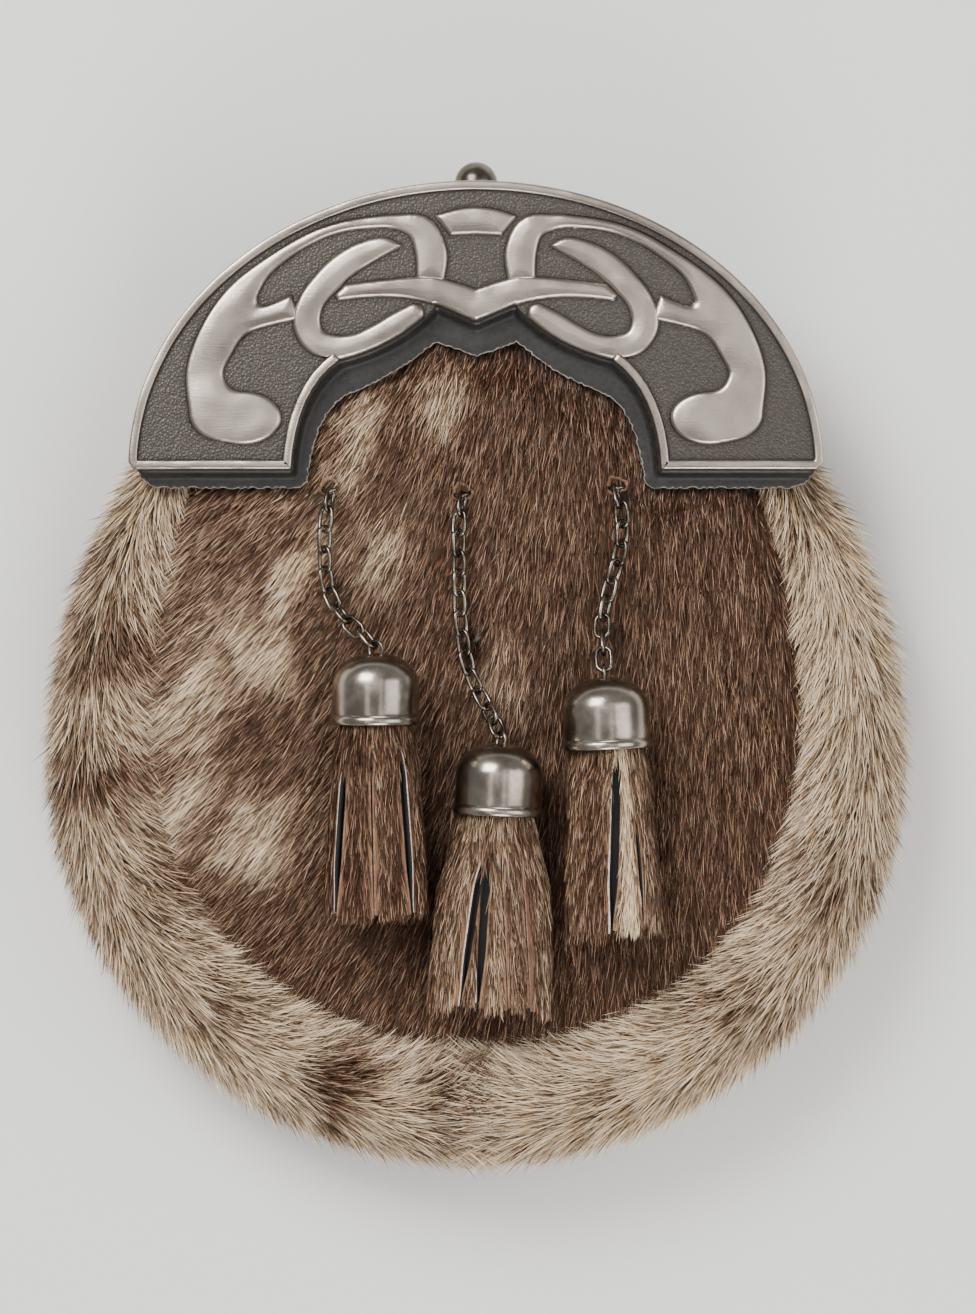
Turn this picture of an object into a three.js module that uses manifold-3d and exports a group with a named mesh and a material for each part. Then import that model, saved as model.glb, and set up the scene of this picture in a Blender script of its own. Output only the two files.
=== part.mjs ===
// A Highland day sporran: a fur pouch with a cast half-moon cantle and three chained tassels.
// It lies on its back: +X to its right, +Y towards the cantle, +Z out of its front. Millimetres.
import * as THREE from 'three';
import { mergeVertices } from 'three/addons/utils/BufferGeometryUtils.js';
import Module from 'manifold-3d';

const wasm = await Module();
wasm.setup();

// Driving dimensions
const gap = 0.3; // between neighbouring pieces
const pouch = { halfWidth: 102.5, centreY: -68, below: 98, above: 114 };
const pouchWall = 5; // hide and its fur
const mouthAngle = 33; // the gusset starts here, in degrees from the top of the pouch
const seam = { gapHalf: 0.15, groove: 3, grooveWidth: 4 };
const panel = { seamTop: 36.5, seamUnder: 31.5, rise: 4.5, underRise: 3.4, centreY: -40 };
const panelTop = { centreY: -14.6, radius: 65 };
const back = { thick: 2.5, low: 3.2, lift: 6.5, liftFrom: -70, liftTo: -10 };
const cantle = { halfWidth: 82.5, rise: 68.5, under: 42.5, plate: 2, rim: 2.3, rimHeight: 1.2, relief: 1 };
const apron = { under: 37.7, thick: 2, plateau: 4.5, margin: 0.8, inset: 1 };
const knob = { ball: 5.1, y: 68.8, z: 33, neck: 2 };
const lug = { width: 12, from: 52, to: 60, low: 29 };
const tab = { width: 18, thick: 2, y: 61.2, from: 36, top: 37.2, hole: 2.6, bend: 7 };
const loop = { x: 36, width: 14, thick: 2.5, from: -10, to: 34, foot: 6, slope: 2 };
const link = { long: 7, wide: 4.4, wire: 0.8, pitch: 4.95, sides: 5, turns: 8 };
const cap = { radius: 10.8, height: 17, straight: 8.5, wall: 0.9, bead: 0.7 };
const eyelet = { radius: 1.9, wire: 0.4, stand: 0.9 };
const hole = { radius: 2.9, pitRadius: 5.5, pitDepth: 3.5 };
const tassel = { flat: 8.2, clear: 0.4, tuck: 0.55, necked: 0.8 }; // half thickness, and its way into the cap
const anchor = { radius: 0.9, half: 6, linkHeight: 34.2 };

// The gusset at angles from the top of the pouch: how far it stands out past the seam,
// and its lowest and highest points
const gussetRows = [
  { angle: 33, width: 7, low: 7, high: 35.6 },
  { angle: 45, width: 12, low: 7, high: 36.2 },
  { angle: 56, width: 18, low: 6.6, high: 36.8 },
  { angle: 70, width: 22.5, low: 4, high: 38.6 },
  { angle: 90, width: 25, low: 0, high: 40 },
  { angle: 135, width: 27, low: 0, high: 40 },
  { angle: 180, width: 29.3, low: 0, high: 40 },
];

// Raised bands on the right half of the cantle: centre line and half width
const scrollBand = [
  { x: 10.8, y: 47, half: 3.5 },
  { x: 10.7, y: 52, half: 4 },
  { x: 13, y: 57, half: 3.4 },
  { x: 18.6, y: 58.7, half: 2 },
  { x: 25, y: 58.6, half: 1.6 },
  { x: 33.8, y: 57, half: 1.5 },
  { x: 39.8, y: 54.5, half: 1.6 },
  { x: 45.8, y: 50.8, half: 1.8 },
  { x: 50.4, y: 47.3, half: 2.2 },
  { x: 56, y: 40.6, half: 3.9 },
  { x: 61, y: 31.6, half: 5 },
  { x: 64.3, y: 23.3, half: 4.6 },
  { x: 62.4, y: 14.4, half: 5.9 },
];
const scrollBulb = { x: 55.3, y: 12.2, halfX: 9.4, halfY: 6.4 };
const scrollSpur = [
  { x: 58, y: 34.6, half: 3.4 },
  { x: 49.5, y: 36.4, half: 2.6 },
  { x: 44.4, y: 38, half: 3 },
];
const ringBand = [
  { x: 18.3, y: 53, half: 0.4 },
  { x: 21.4, y: 53, half: 2.1 },
  { x: 25.7, y: 51.5, half: 2.9 },
  { x: 30.4, y: 48.9, half: 3.2 },
  { x: 35.4, y: 44.4, half: 3.3 },
  { x: 39.2, y: 39.2, half: 3.3 },
  { x: 40.1, y: 34.4, half: 3.5 },
  { x: 38.2, y: 30.6, half: 3.2 },
  { x: 33.7, y: 29.2, half: 2.8 },
  { x: 28.5, y: 29.7, half: 2.6 },
  { x: 23, y: 32.1, half: 2.8 },
  { x: 18.5, y: 34.7, half: 2.9 },
  { x: 15.4, y: 36.6, half: 2.6 },
];

// Where each tassel lies: the top of its cap, the way it leans, and its size below the cap
const tassels = [
  { name: 'left', x: -23.6, y: -43.5, lean: 0, length: 44.4, half: 13, hole: { x: -34.7, y: -4 } },
  { name: 'middle', x: 5.9, y: -64.8, lean: -2.6, length: 44.6, half: 15.4, hole: { x: -3.3, y: -5.2 } },
  { name: 'right', x: 30.3, y: -49.2, lean: 2.6, length: 42.3, half: 12.4, hole: { x: 33.5, y: -3.6 } },
];
// Each chain lies slack on the fur between its hole and its cap: bends, and how far they stand off the fur
const chainBends = {
  left: [[-35.6, -11.5, 0], [-35.9, -21, 0], [-34.8, -29, 0], [-30.4, -36, 4]],
  middle: [[-4, -12.5, 0], [-4, -24, 0], [-3.6, -36, 0], [-1.6, -47.5, 0], [2.4, -56, 2]],
  right: [[34.6, -10.5, 0], [34.2, -19, 0], [32, -27, 0], [30, -36, 2]],
};

const leather = { colour: '#16161a', roughness: 0.5, metalness: 0 };
const pewter = { colour: '#8d8984', roughness: 0.35, metalness: 1 };
const darkPewter = { colour: '#5b574f', roughness: 0.3, metalness: 1 };
const sealFur = { colour: '#6b5440', roughness: 0.75, metalness: 0 };
const creamFur = { colour: '#a08a6c', roughness: 0.8, metalness: 0 };

// Small helpers
const toRadians = THREE.MathUtils.degToRad;
const mergeDistance = 1e-4;

function joinedGeometry(geometry) {
  // The same faces, sharing their corners
  const bare = geometry.clone();
  bare.deleteAttribute('normal');
  bare.deleteAttribute('uv');
  return mergeVertices(bare, mergeDistance);
}

function solidOf(geometry) {
  const merged = joinedGeometry(geometry);
  const vertProperties = new Float32Array(merged.attributes.position.array);
  const triVerts = new Uint32Array(merged.index.array);
  return new wasm.Manifold(new wasm.Mesh({ numProp: 3, vertProperties, triVerts }));
}

function geometryOf(solid) {
  const mesh = solid.getMesh();
  const geometry = new THREE.BufferGeometry();
  geometry.setAttribute('position', new THREE.BufferAttribute(mesh.vertProperties, 3));
  geometry.setIndex(new THREE.BufferAttribute(mesh.triVerts, 1));
  return geometry;
}

function loftGeometry(rings, flatten) {
  // Rings of as many points each, joined in order and closed at both ends; flatten gives a ring in its plane
  const count = rings[0].length;
  const faces = [];
  for (let r = 0; r + 1 < rings.length; r += 1) {
    for (let i = 0; i < count; i += 1) {
      const a = r * count + i;
      const b = r * count + ((i + 1) % count);
      faces.push(a, b, b + count, a, b + count, a + count);
    }
  }
  for (const end of [0, rings.length - 1]) {
    const flat = flatten(rings[end]);
    const turned = THREE.ShapeUtils.isClockWise(flat) !== (end > 0);
    for (const [a, b, c] of THREE.ShapeUtils.triangulateShape(flat, [])) {
      const corners = turned ? [a, b, c] : [a, c, b];
      faces.push(...corners.map((corner) => end * count + corner));
    }
  }
  const geometry = new THREE.BufferGeometry().setFromPoints(rings.flat());
  geometry.setIndex(faces);
  return geometry;
}

function facingOut(geometry) {
  // Turns every face round if the closed shape holds less than nothing
  const p = geometry.attributes.position;
  const index = geometry.index.array;
  const corner = (i) => new THREE.Vector3().fromBufferAttribute(p, index[i]);
  let volume = 0;
  for (let i = 0; i < index.length; i += 3) {
    volume += corner(i).dot(corner(i + 1).cross(corner(i + 2)));
  }
  if (volume < 0) {
    for (let i = 0; i < index.length; i += 3) {
      [index[i + 1], index[i + 2]] = [index[i + 2], index[i + 1]];
    }
  }
  return geometry;
}

function slab(shape, low, high, curveSegments = 8) {
  const options = { depth: high - low, bevelEnabled: false, curveSegments };
  return new THREE.ExtrudeGeometry(shape, options).translate(0, 0, low);
}

function mirrored(points) {
  return points.map((p) => new THREE.Vector2(-p.x, p.y)).reverse();
}

function column(rows, key, value, name) {
  // A smooth curve through a table's column
  let k = rows.findIndex((row) => row[key] >= value);
  k = THREE.MathUtils.clamp(k, 1, rows.length - 1);
  const before = rows[Math.max(k - 2, 0)];
  const after = rows[Math.min(k + 1, rows.length - 1)];
  const [from, to] = [rows[k - 1], rows[k]];
  const t = (value - from[key]) / (to[key] - from[key]);
  const slopeFrom = ((to[name] - before[name]) / (to[key] - before[key])) * (to[key] - from[key]);
  const slopeTo = ((after[name] - from[name]) / (after[key] - from[key])) * (to[key] - from[key]);
  const [t2, t3] = [t * t, t * t * t];
  const ends = from[name] * (2 * t3 - 3 * t2 + 1) + to[name] * (3 * t2 - 2 * t3);
  return ends + slopeFrom * (t3 - 2 * t2 + t) + slopeTo * (t3 - t2);
}

// The pouch in plan: its outer line, and the seam line inside it
function outerPoint(degrees) {
  const angle = toRadians(degrees);
  const reach = Math.cos(angle) > 0 ? pouch.above : pouch.below;
  return new THREE.Vector2(pouch.halfWidth * Math.sin(angle), pouch.centreY + reach * Math.cos(angle));
}

function outerNormal(degrees) {
  const angle = toRadians(degrees);
  const reach = Math.cos(angle) > 0 ? pouch.above : pouch.below;
  return new THREE.Vector2(Math.sin(angle) / pouch.halfWidth, Math.cos(angle) / reach).normalize();
}

function seamPoint(degrees, inset) {
  const folded = degrees > 180 ? 360 - degrees : degrees;
  const width = column(gussetRows, 'angle', folded, 'width');
  return outerPoint(degrees).sub(outerNormal(degrees).multiplyScalar(width + inset));
}

function backHeight(y) {
  const t = THREE.MathUtils.smoothstep(y, back.liftFrom, back.liftTo);
  return back.low + back.lift * t;
}

// The panels' shared outline: the seam line, and an arc behind the cantle
function panelOutline() {
  const outline = [];
  const seamSteps = 44;
  const arcSteps = 12;
  for (let i = 0; i <= seamSteps; i += 1) {
    const degrees = mouthAngle + (i * (360 - 2 * mouthAngle)) / seamSteps;
    outline.push({ point: seamPoint(degrees, seam.gapHalf), sewn: true });
  }
  const start = outline.at(-1).point;
  const startAngle = Math.atan2(start.x, start.y - panelTop.centreY);
  for (let i = 1; i < arcSteps; i += 1) {
    const angle = startAngle * (1 - (2 * i) / arcSteps);
    const x = panelTop.radius * Math.sin(angle);
    const y = panelTop.centreY + panelTop.radius * Math.cos(angle);
    outline.push({ point: new THREE.Vector2(x, y), sewn: false });
  }
  return outline;
}

function sheetBetween(outline, shares, top, under) {
  // A sheet over a closed outline: rings shrink to one centre point; top and under give its two heights
  const centre = new THREE.Vector2(0, panel.centreY);
  const count = outline.length;
  const points = [];
  const faces = [];
  const sides = [top, under];
  sides.forEach((height, side) => {
    points.push(new THREE.Vector3(centre.x, centre.y, height(centre, 0, true)));
    for (const share of shares) {
      for (const { point, sewn } of outline) {
        const at = centre.clone().lerp(point, share);
        points.push(new THREE.Vector3(at.x, at.y, height(at, share, sewn)));
      }
    }
    const first = side * (1 + shares.length * count);
    for (let i = 0; i < count; i += 1) {
      const next = (i + 1) % count;
      faces.push(first, first + 1 + i, first + 1 + next);
      for (let r = 0; r + 1 < shares.length; r += 1) {
        const [a, b] = [first + 1 + r * count + i, first + 1 + r * count + next];
        faces.push(a, a + count, b + count, a, b + count, b);
      }
    }
    if (side === 0) faces.reverse();
  });
  const edge = 1 + (shares.length - 1) * count;
  const under0 = 1 + shares.length * count;
  for (let i = 0; i < count; i += 1) {
    const next = (i + 1) % count;
    const [a, b] = [edge + i, edge + next];
    faces.push(a, b, under0 + b, a, under0 + b, under0 + a);
  }
  const geometry = new THREE.BufferGeometry().setFromPoints(points);
  geometry.setIndex(faces);
  return facingOut(geometry);
}

// The cantle's and the apron's outlines, right half from the middle outwards
function cantleHalf(path) {
  path.moveTo(0, 35);
  path.lineTo(9.6, 39.1);
  path.lineTo(10.2, 38);
  path.quadraticCurveTo(18.5, 29.2, 32.3, 25.9);
  path.quadraticCurveTo(42.8, 18.5, 43.8, 0);
  path.lineTo(81.3, 0);
  return path;
}

function floorHalf(path) {
  // The same edge inside the cantle's rim
  path.moveTo(0, 36.6);
  path.lineTo(10.4, 41.2);
  path.quadraticCurveTo(19.4, 31, 33.2, 27.6);
  path.quadraticCurveTo(44.8, 20, 46, cantle.rim);
  path.lineTo(79.7, cantle.rim);
  return path;
}

function apronHalf(path) {
  path.moveTo(0, 26.8);
  path.lineTo(9.8, 30.2);
  path.quadraticCurveTo(18, 22.5, 30.5, 17.8);
  path.quadraticCurveTo(38, 14, 39.8, -3);
  path.lineTo(42, -4.6);
  path.lineTo(74, -4.6);
  path.quadraticCurveTo(79.6, -4.4, 80.6, 0);
  return path;
}

function moonShape(half, inset, arcSteps) {
  // Both halves of the lower edge, closed by the half ellipse over the top
  const right = half(new THREE.Path()).getPoints(6);
  const end = right.at(-1);
  const halfWidth = cantle.halfWidth - inset;
  const rise = cantle.rise - inset;
  const endAngle = Math.atan2(end.x / halfWidth, end.y / rise);
  const arc = [];
  for (let i = 1; i < arcSteps; i += 1) {
    const angle = endAngle * (1 - (2 * i) / arcSteps);
    arc.push(new THREE.Vector2(halfWidth * Math.sin(angle), rise * Math.cos(angle)));
  }
  const left = mirrored(right.slice(1));
  return new THREE.Shape([...right, ...arc, ...left]);
}

function bandShape(rows, steps) {
  const line = new THREE.CatmullRomCurve3(rows.map((r) => new THREE.Vector3(r.x, r.y, r.half)));
  const sides = [[], []];
  for (let i = 0; i <= steps; i += 1) {
    const at = line.getPoint(i / steps);
    const along = line.getTangent(i / steps).setZ(0).normalize();
    sides[0].push(new THREE.Vector2(at.x - along.y * at.z, at.y + along.x * at.z));
    sides[1].push(new THREE.Vector2(at.x + along.y * at.z, at.y - along.x * at.z));
  }
  return new THREE.Shape([...sides[0], ...sides[1].reverse()]);
}

function bothSides(geometry) {
  // The right half's solid and its mirror image
  const solid = solidOf(geometry);
  return solid.add(solid.mirror([1, 0, 0]));
}

// The cantle: a plate, its rim and its raised bands, cast in one
function cantleGeometry() {
  const field = cantle.under + cantle.plate;
  const crest = field + cantle.rimHeight;
  const reliefTop = field + cantle.relief;
  const outline = moonShape(cantleHalf, 0, 40);
  const floorShape = moonShape(floorHalf, cantle.rim, 40);
  const recess = solidOf(slab(floorShape, field, crest + 1));
  const bulb = new THREE.CylinderGeometry(1, 1, reliefTop - field + 0.5, 24).rotateX(Math.PI / 2);
  bulb.scale(scrollBulb.halfX, scrollBulb.halfY, 1);
  bulb.translate(scrollBulb.x, scrollBulb.y, (reliefTop + field - 0.5) / 2);
  const wing = new THREE.Shape();
  wing.moveTo(0, 35.2);
  wing.lineTo(9.8, 38.9);
  wing.quadraticCurveTo(19, 42, 33, 39.8);
  wing.lineTo(31, 44);
  wing.quadraticCurveTo(22, 45.5, 10, 46);
  wing.quadraticCurveTo(4, 44.5, 0, 43);
  const lozenge = new THREE.Shape();
  lozenge.moveTo(0, 55.6);
  lozenge.lineTo(6.2, 55.3);
  lozenge.lineTo(10, 60.2);
  lozenge.quadraticCurveTo(5, 62.4, 0, 62.4);
  let solid = solidOf(slab(outline, cantle.under, crest)).subtract(recess);
  const raised = [
    slab(bandShape(scrollBand, 34), field - 0.5, reliefTop),
    bulb,
    slab(bandShape(scrollSpur, 4), field - 0.5, reliefTop),
    slab(bandShape(ringBand, 28), field - 0.5, reliefTop),
    slab(wing, field - 0.5, reliefTop),
    slab(lozenge, field - 0.5, reliefTop),
  ];
  for (const geometry of raised) solid = solid.add(bothSides(geometry));
  const depth = cantle.under + cantle.plate / 2 - lug.low;
  const block = new THREE.BoxGeometry(lug.width, lug.to - lug.from, depth);
  block.translate(0, (lug.from + lug.to) / 2, lug.low + depth / 2);
  return geometryOf(solid.add(solidOf(block)));
}

// The black leather apron behind the cantle: a flange, moulded up to a plateau that the cantle sits on
function apronGeometry() {
  const flange = slab(moonShape(apronHalf, apron.inset, 32), apron.under, apron.under + apron.thick);
  const step = moonShape(cantleHalf, apron.inset, 32);
  const top = apron.under + apron.plateau;
  const plateau = slab(step, apron.under, top).translate(0, -apron.margin, 0);
  const room = new THREE.BoxGeometry(lug.width + 2 * gap, cantle.rise, 20);
  room.translate(0, lug.from - gap + cantle.rise / 2, top);
  return geometryOf(solidOf(flange).add(solidOf(plateau)).subtract(solidOf(room)));
}

// The front panel: seal hide with its fur, cut back under the apron and pierced for the chains
function furHeight(at, share, sewn) {
  const fade = sewn ? Math.sqrt(1 - share ** 4) : 1;
  return panel.seamTop + panel.rise * fade;
}

function frontGeometry() {
  const under = (at, share, sewn) => {
    const fade = sewn ? Math.sqrt(1 - share ** 4) : 1;
    return panel.seamUnder + panel.underRise * fade;
  };
  const sheet = sheetBetween(panelOutline(), [0.25, 0.5, 0.7, 0.85, 0.94, 1], furHeight, under);
  const footprint = slab(moonShape(apronHalf, -5, 24), apron.under - gap, apron.under + 10);
  footprint.scale(0.99, 1, 1).translate(0, -gap, 0);
  let solid = solidOf(sheet).subtract(solidOf(footprint));
  for (const { hole: at } of tassels) {
    const bore = new THREE.CylinderGeometry(hole.radius, hole.radius, 30, 16).rotateX(Math.PI / 2);
    const top = panel.seamTop + panel.rise + 1;
    const pit = new THREE.CylinderGeometry(hole.pitRadius, hole.radius, hole.pitDepth + 1, 16);
    pit.rotateX(Math.PI / 2).translate(at.x, at.y, top - (hole.pitDepth + 1) / 2);
    solid = solid.subtract(solidOf(bore.translate(at.x, at.y, top))).subtract(solidOf(pit));
  }
  return geometryOf(solid);
}

function backGeometry() {
  const under = (at) => backHeight(at.y);
  const top = (at) => backHeight(at.y) + back.thick;
  return sheetBetween(panelOutline(), [0.35, 0.7, 1], top, under);
}

// One half of the gusset: a bulging strip of hide from the mouth down to the seam at the bottom
function gussetSection(degrees) {
  const width = column(gussetRows, 'angle', degrees, 'width');
  const low = column(gussetRows, 'angle', degrees, 'low');
  const high = column(gussetRows, 'angle', degrees, 'high');
  const middle = (low + high) / 2;
  const bulge = (reach, halfHeight, steps, groove) => {
    const points = [];
    for (let i = 0; i <= steps; i += 1) {
      const turn = Math.PI * (0.5 - i / steps);
      const out = reach * Math.cos(turn) ** 0.9;
      const dip = groove * Math.exp(-((out / seam.grooveWidth) ** 2));
      points.push(new THREE.Vector2(out, middle + Math.sin(turn) * (halfHeight - dip)));
    }
    return points;
  };
  const outside = bulge(width, (high - low) / 2, 12, seam.groove);
  const wall = Math.min(pouchWall, width * 0.6);
  const inside = bulge(width - wall, (high - low) / 2 - wall, 10, seam.groove);
  return [...outside, ...inside.reverse()];
}

function gussetGeometry(side) {
  const rings = [];
  const steps = 22;
  for (let i = 0; i <= steps; i += 1) {
    const degrees = mouthAngle + (i * (180 - mouthAngle)) / steps;
    const normal = outerNormal(degrees);
    const start = seamPoint(degrees, -seam.gapHalf);
    const ring = gussetSection(degrees).map((p) => {
      const x = start.x + normal.x * Math.max(p.x - seam.gapHalf, 0);
      const y = start.y + normal.y * Math.max(p.x - seam.gapHalf, 0);
      return new THREE.Vector3(side * (x + (i === steps ? gap / 2 : 0)), y, p.y);
    });
    rings.push(ring);
  }
  const flatten = (ring) => {
    const from = ring[0];
    return ring.map((p) => new THREE.Vector2(Math.hypot(p.x - from.x, p.y - from.y), p.z));
  };
  return facingOut(loftGeometry(rings, flatten));
}

// The knob: a ball on a neck that stands on the cantle's lug
function knobGeometry() {
  const profile = [];
  const neckTop = Math.sqrt(knob.ball ** 2 - knob.neck ** 2);
  const foot = lug.to + gap - knob.y;
  profile.push(new THREE.Vector2(0, foot));
  profile.push(new THREE.Vector2(knob.neck, foot));
  const start = Math.atan2(-neckTop, knob.neck);
  const steps = 7;
  for (let i = 0; i <= steps; i += 1) {
    const angle = start + ((Math.PI / 2 - start) * i) / steps;
    const r = i === steps ? 0 : knob.ball * Math.cos(angle);
    profile.push(new THREE.Vector2(r, knob.ball * Math.sin(angle)));
  }
  return new THREE.LatheGeometry(profile, 16).translate(0, knob.y, knob.z);
}

// The tab: a strip from the back panel that bends up over the mouth and buttons over the knob's neck
function tabGeometry() {
  const inner = backHeight(tab.from) + back.thick + gap;
  const outer = tab.y + tab.thick;
  const side = new THREE.Shape();
  side.moveTo(tab.from, inner);
  side.lineTo(outer - tab.bend, inner);
  side.quadraticCurveTo(outer, inner, outer, inner + tab.bend);
  side.lineTo(outer, tab.top);
  side.lineTo(tab.y, tab.top);
  side.lineTo(tab.y, inner + tab.bend);
  side.quadraticCurveTo(tab.y, inner + tab.thick, outer - tab.bend, inner + tab.thick);
  side.lineTo(tab.from, inner + tab.thick);
  const strip = slab(side, -tab.width / 2, tab.width / 2, 6);
  strip.rotateY(Math.PI / 2).rotateX(Math.PI / 2);
  return strip;
}

// A belt loop: a strip that stands off the back panel, for a strap to pass behind
function loopGeometry(side) {
  const rise = back.low + back.lift - gap;
  const shape = new THREE.Shape();
  shape.moveTo(loop.from, rise);
  shape.lineTo(loop.from, rise - loop.thick);
  shape.lineTo(loop.from + loop.foot - loop.thick, rise - loop.thick);
  shape.lineTo(loop.from + loop.foot - loop.thick + loop.slope, 0);
  shape.lineTo(loop.to - loop.foot + loop.thick - loop.slope, 0);
  shape.lineTo(loop.to - loop.foot + loop.thick, rise - loop.thick);
  shape.lineTo(loop.to, rise - loop.thick);
  shape.lineTo(loop.to, rise);
  shape.lineTo(loop.to - loop.foot, rise);
  shape.lineTo(loop.to - loop.foot - loop.slope, loop.thick);
  shape.lineTo(loop.from + loop.foot + loop.slope, loop.thick);
  shape.lineTo(loop.from + loop.foot, rise);
  const strip = slab(shape, -loop.width / 2, loop.width / 2);
  return strip.rotateY(Math.PI / 2).rotateX(Math.PI / 2).translate(side * loop.x, 0, 0);
}

// Tassels, their caps and their chains
const furTop = panel.seamTop + panel.rise;
const axisHeight = furTop + gap + cap.radius + 0.1;

function tasselFrame(row) {
  const turn = new THREE.Matrix4().makeRotationZ(toRadians(row.lean));
  return turn.setPosition(row.x, row.y, axisHeight);
}

function capGeometry(row, { eye, axis, ringNormal }) {
  // The axis runs down -Y from the crown at the origin
  const domeSteps = 4;
  const dome = cap.height - cap.straight;
  const side = (radius, top, depth) => {
    const points = [];
    for (let i = 0; i <= domeSteps; i += 1) {
      const turn = (Math.PI / 2) * (1 - i / domeSteps);
      const r = i === 0 ? 0 : radius * Math.cos(turn);
      points.push(new THREE.Vector2(r, top - depth + depth * Math.sin(turn)));
    }
    return points;
  };
  const outside = side(cap.radius - cap.bead / 2, 0, dome);
  const inside = side(cap.radius - cap.bead / 2 - cap.wall, -cap.wall, dome - cap.wall);
  const profile = [
    ...outside,
    new THREE.Vector2(cap.radius - cap.bead / 2, -cap.height + 2 * cap.bead),
    new THREE.Vector2(cap.radius, -cap.height + cap.bead),
    new THREE.Vector2(cap.radius - cap.bead / 2, -cap.height),
    new THREE.Vector2(cap.radius - cap.bead / 2 - cap.wall, -cap.height),
    ...inside.reverse(),
  ];
  const shell = facingOut(joinedGeometry(new THREE.LatheGeometry(profile, 18)));
  const ring = new THREE.TorusGeometry(eyelet.radius, eyelet.wire, 5, 12);
  const across = axis.clone().cross(ringNormal);
  ring.applyMatrix4(new THREE.Matrix4().makeBasis(across, axis, ringNormal).setPosition(eye));
  return geometryOf(solidOf(shell.applyMatrix4(tasselFrame(row))).add(solidOf(ring)));
}

function tasselGeometry(row) {
  // A roll of hide: round in its cap, spread and flattened where it lies
  const neck = cap.radius - cap.bead / 2 - cap.wall - gap;
  const stations = [
    { down: cap.height * tassel.tuck, across: neck * tassel.necked, tall: neck * tassel.necked },
    { down: cap.height, across: neck, tall: neck },
    { down: cap.height + 4, across: neck + 1, tall: neck },
    { down: cap.height + row.length * 0.35, across: row.half * 0.86, tall: tassel.flat + 0.8 },
    { down: cap.height + row.length * 0.7, across: row.half * 0.95, tall: tassel.flat + 0.4 },
    { down: cap.height + row.length, across: row.half, tall: tassel.flat },
  ];
  const sides = 18;
  const rings = stations.map(({ down, across, tall }) => {
    const ring = [];
    const drop = Math.max(cap.radius - tassel.clear - tall, 0);
    for (let i = 0; i < sides; i += 1) {
      const turn = (2 * Math.PI * i) / sides;
      const height = tall * Math.sin(turn) - (down > cap.height ? drop : 0);
      ring.push(new THREE.Vector3(across * Math.cos(turn), -down, height));
    }
    return ring;
  });
  const flatten = (ring) => ring.map((p) => new THREE.Vector2(p.x, p.z));
  return facingOut(loftGeometry(rings, flatten)).applyMatrix4(tasselFrame(row));
}

function chainPlaces(row) {
  // Up out of the hole, along the fur and up to the cap's eyelet
  const lying = furTop + 2.4;
  const entry = [
    [row.hole.x, row.hole.y, anchor.linkHeight],
    [row.hole.x, row.hole.y - 0.3, 39.4],
    [row.hole.x, row.hole.y - 2.6, 42.4],
  ];
  const bends = chainBends[row.name].map(([x, y, lift]) => [x, y, lying + lift]);
  const eye = new THREE.Vector3(0, eyelet.stand, 0).applyMatrix4(tasselFrame(row));
  const lastBend = new THREE.Vector3(...bends.at(-1));
  const crown = new THREE.Vector3(0, 0, 0).applyMatrix4(tasselFrame(row));
  const axis = eye.clone().sub(crown).normalize();
  const away = lastBend.clone().sub(eye).normalize().addScaledVector(axis, 0.2).normalize();
  const last = eye.clone().addScaledVector(away, link.long / 2 + 0.2);
  const points = [...entry, ...bends].map((p) => new THREE.Vector3(...p));
  const route = new THREE.CatmullRomCurve3([...points, last], false, 'centripetal');
  const count = Math.ceil(route.getLength() / link.pitch);
  const ringNormal = axis.clone().cross(away).normalize();
  const lastNormal = ringNormal.clone().cross(away);
  const inward = away.clone().negate();
  const side = chainSide(inward);
  const lastRoll = Math.atan2(lastNormal.dot(inward.clone().cross(side)), lastNormal.dot(side));
  const quarter = Math.PI / 2;
  const turns = Math.round((lastRoll - (count + 0.5) * quarter) / Math.PI);
  const lastDrift = lastRoll - count * quarter - turns * Math.PI;
  const places = [];
  for (let i = 0; i <= count; i += 1) {
    const at = route.getPointAt(i / count);
    const along = i === count ? inward : route.getTangentAt(i / count);
    const early = (quarter / 2) * THREE.MathUtils.smoothstep(i, 0, 4);
    const late = THREE.MathUtils.smoothstep(i, count - 5, count);
    places.push({ at, along, roll: i * quarter + early + (lastDrift - quarter / 2) * late });
  }
  return { places, eye, axis, ringNormal };
}

function chainSide(along) {
  return new THREE.Vector3(1, 0, 0).addScaledVector(along, -along.x).normalize();
}

function linkGeometry({ at, along, roll }) {
  // A ring pulled long along X, then laid along its piece of the chain
  const ring = new THREE.TorusGeometry((link.wide - link.wire) / 2, link.wire / 2, link.sides, link.turns);
  const p = ring.attributes.position;
  const stretch = (link.long - link.wide) / 2;
  for (let i = 0; i < p.count; i += 1) {
    const x = p.getX(i);
    if (Math.abs(x) > 1e-6) p.setX(i, x + Math.sign(x) * stretch);
  }
  const normal = chainSide(along).applyAxisAngle(along, roll);
  const across = new THREE.Vector3().crossVectors(normal, along);
  const place = new THREE.Matrix4().makeBasis(along, across, normal).setPosition(at);
  return ring.applyMatrix4(place);
}

function anchorGeometry(row) {
  const bar = new THREE.CylinderGeometry(anchor.radius, anchor.radius, 2 * anchor.half, 10);
  const z = anchor.linkHeight - link.long / 2 + link.wire + anchor.radius + 0.15;
  return bar.rotateZ(Math.PI / 2).translate(row.hole.x, row.hole.y, z);
}

// The assembly
const sporran = new THREE.Group();

function place(name, geometry, finish) {
  const { colour: color, roughness, metalness } = finish;
  const mesh = new THREE.Mesh(geometry, new THREE.MeshStandardMaterial({ color, roughness, metalness }));
  mesh.name = name;
  sporran.add(mesh);
}

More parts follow.
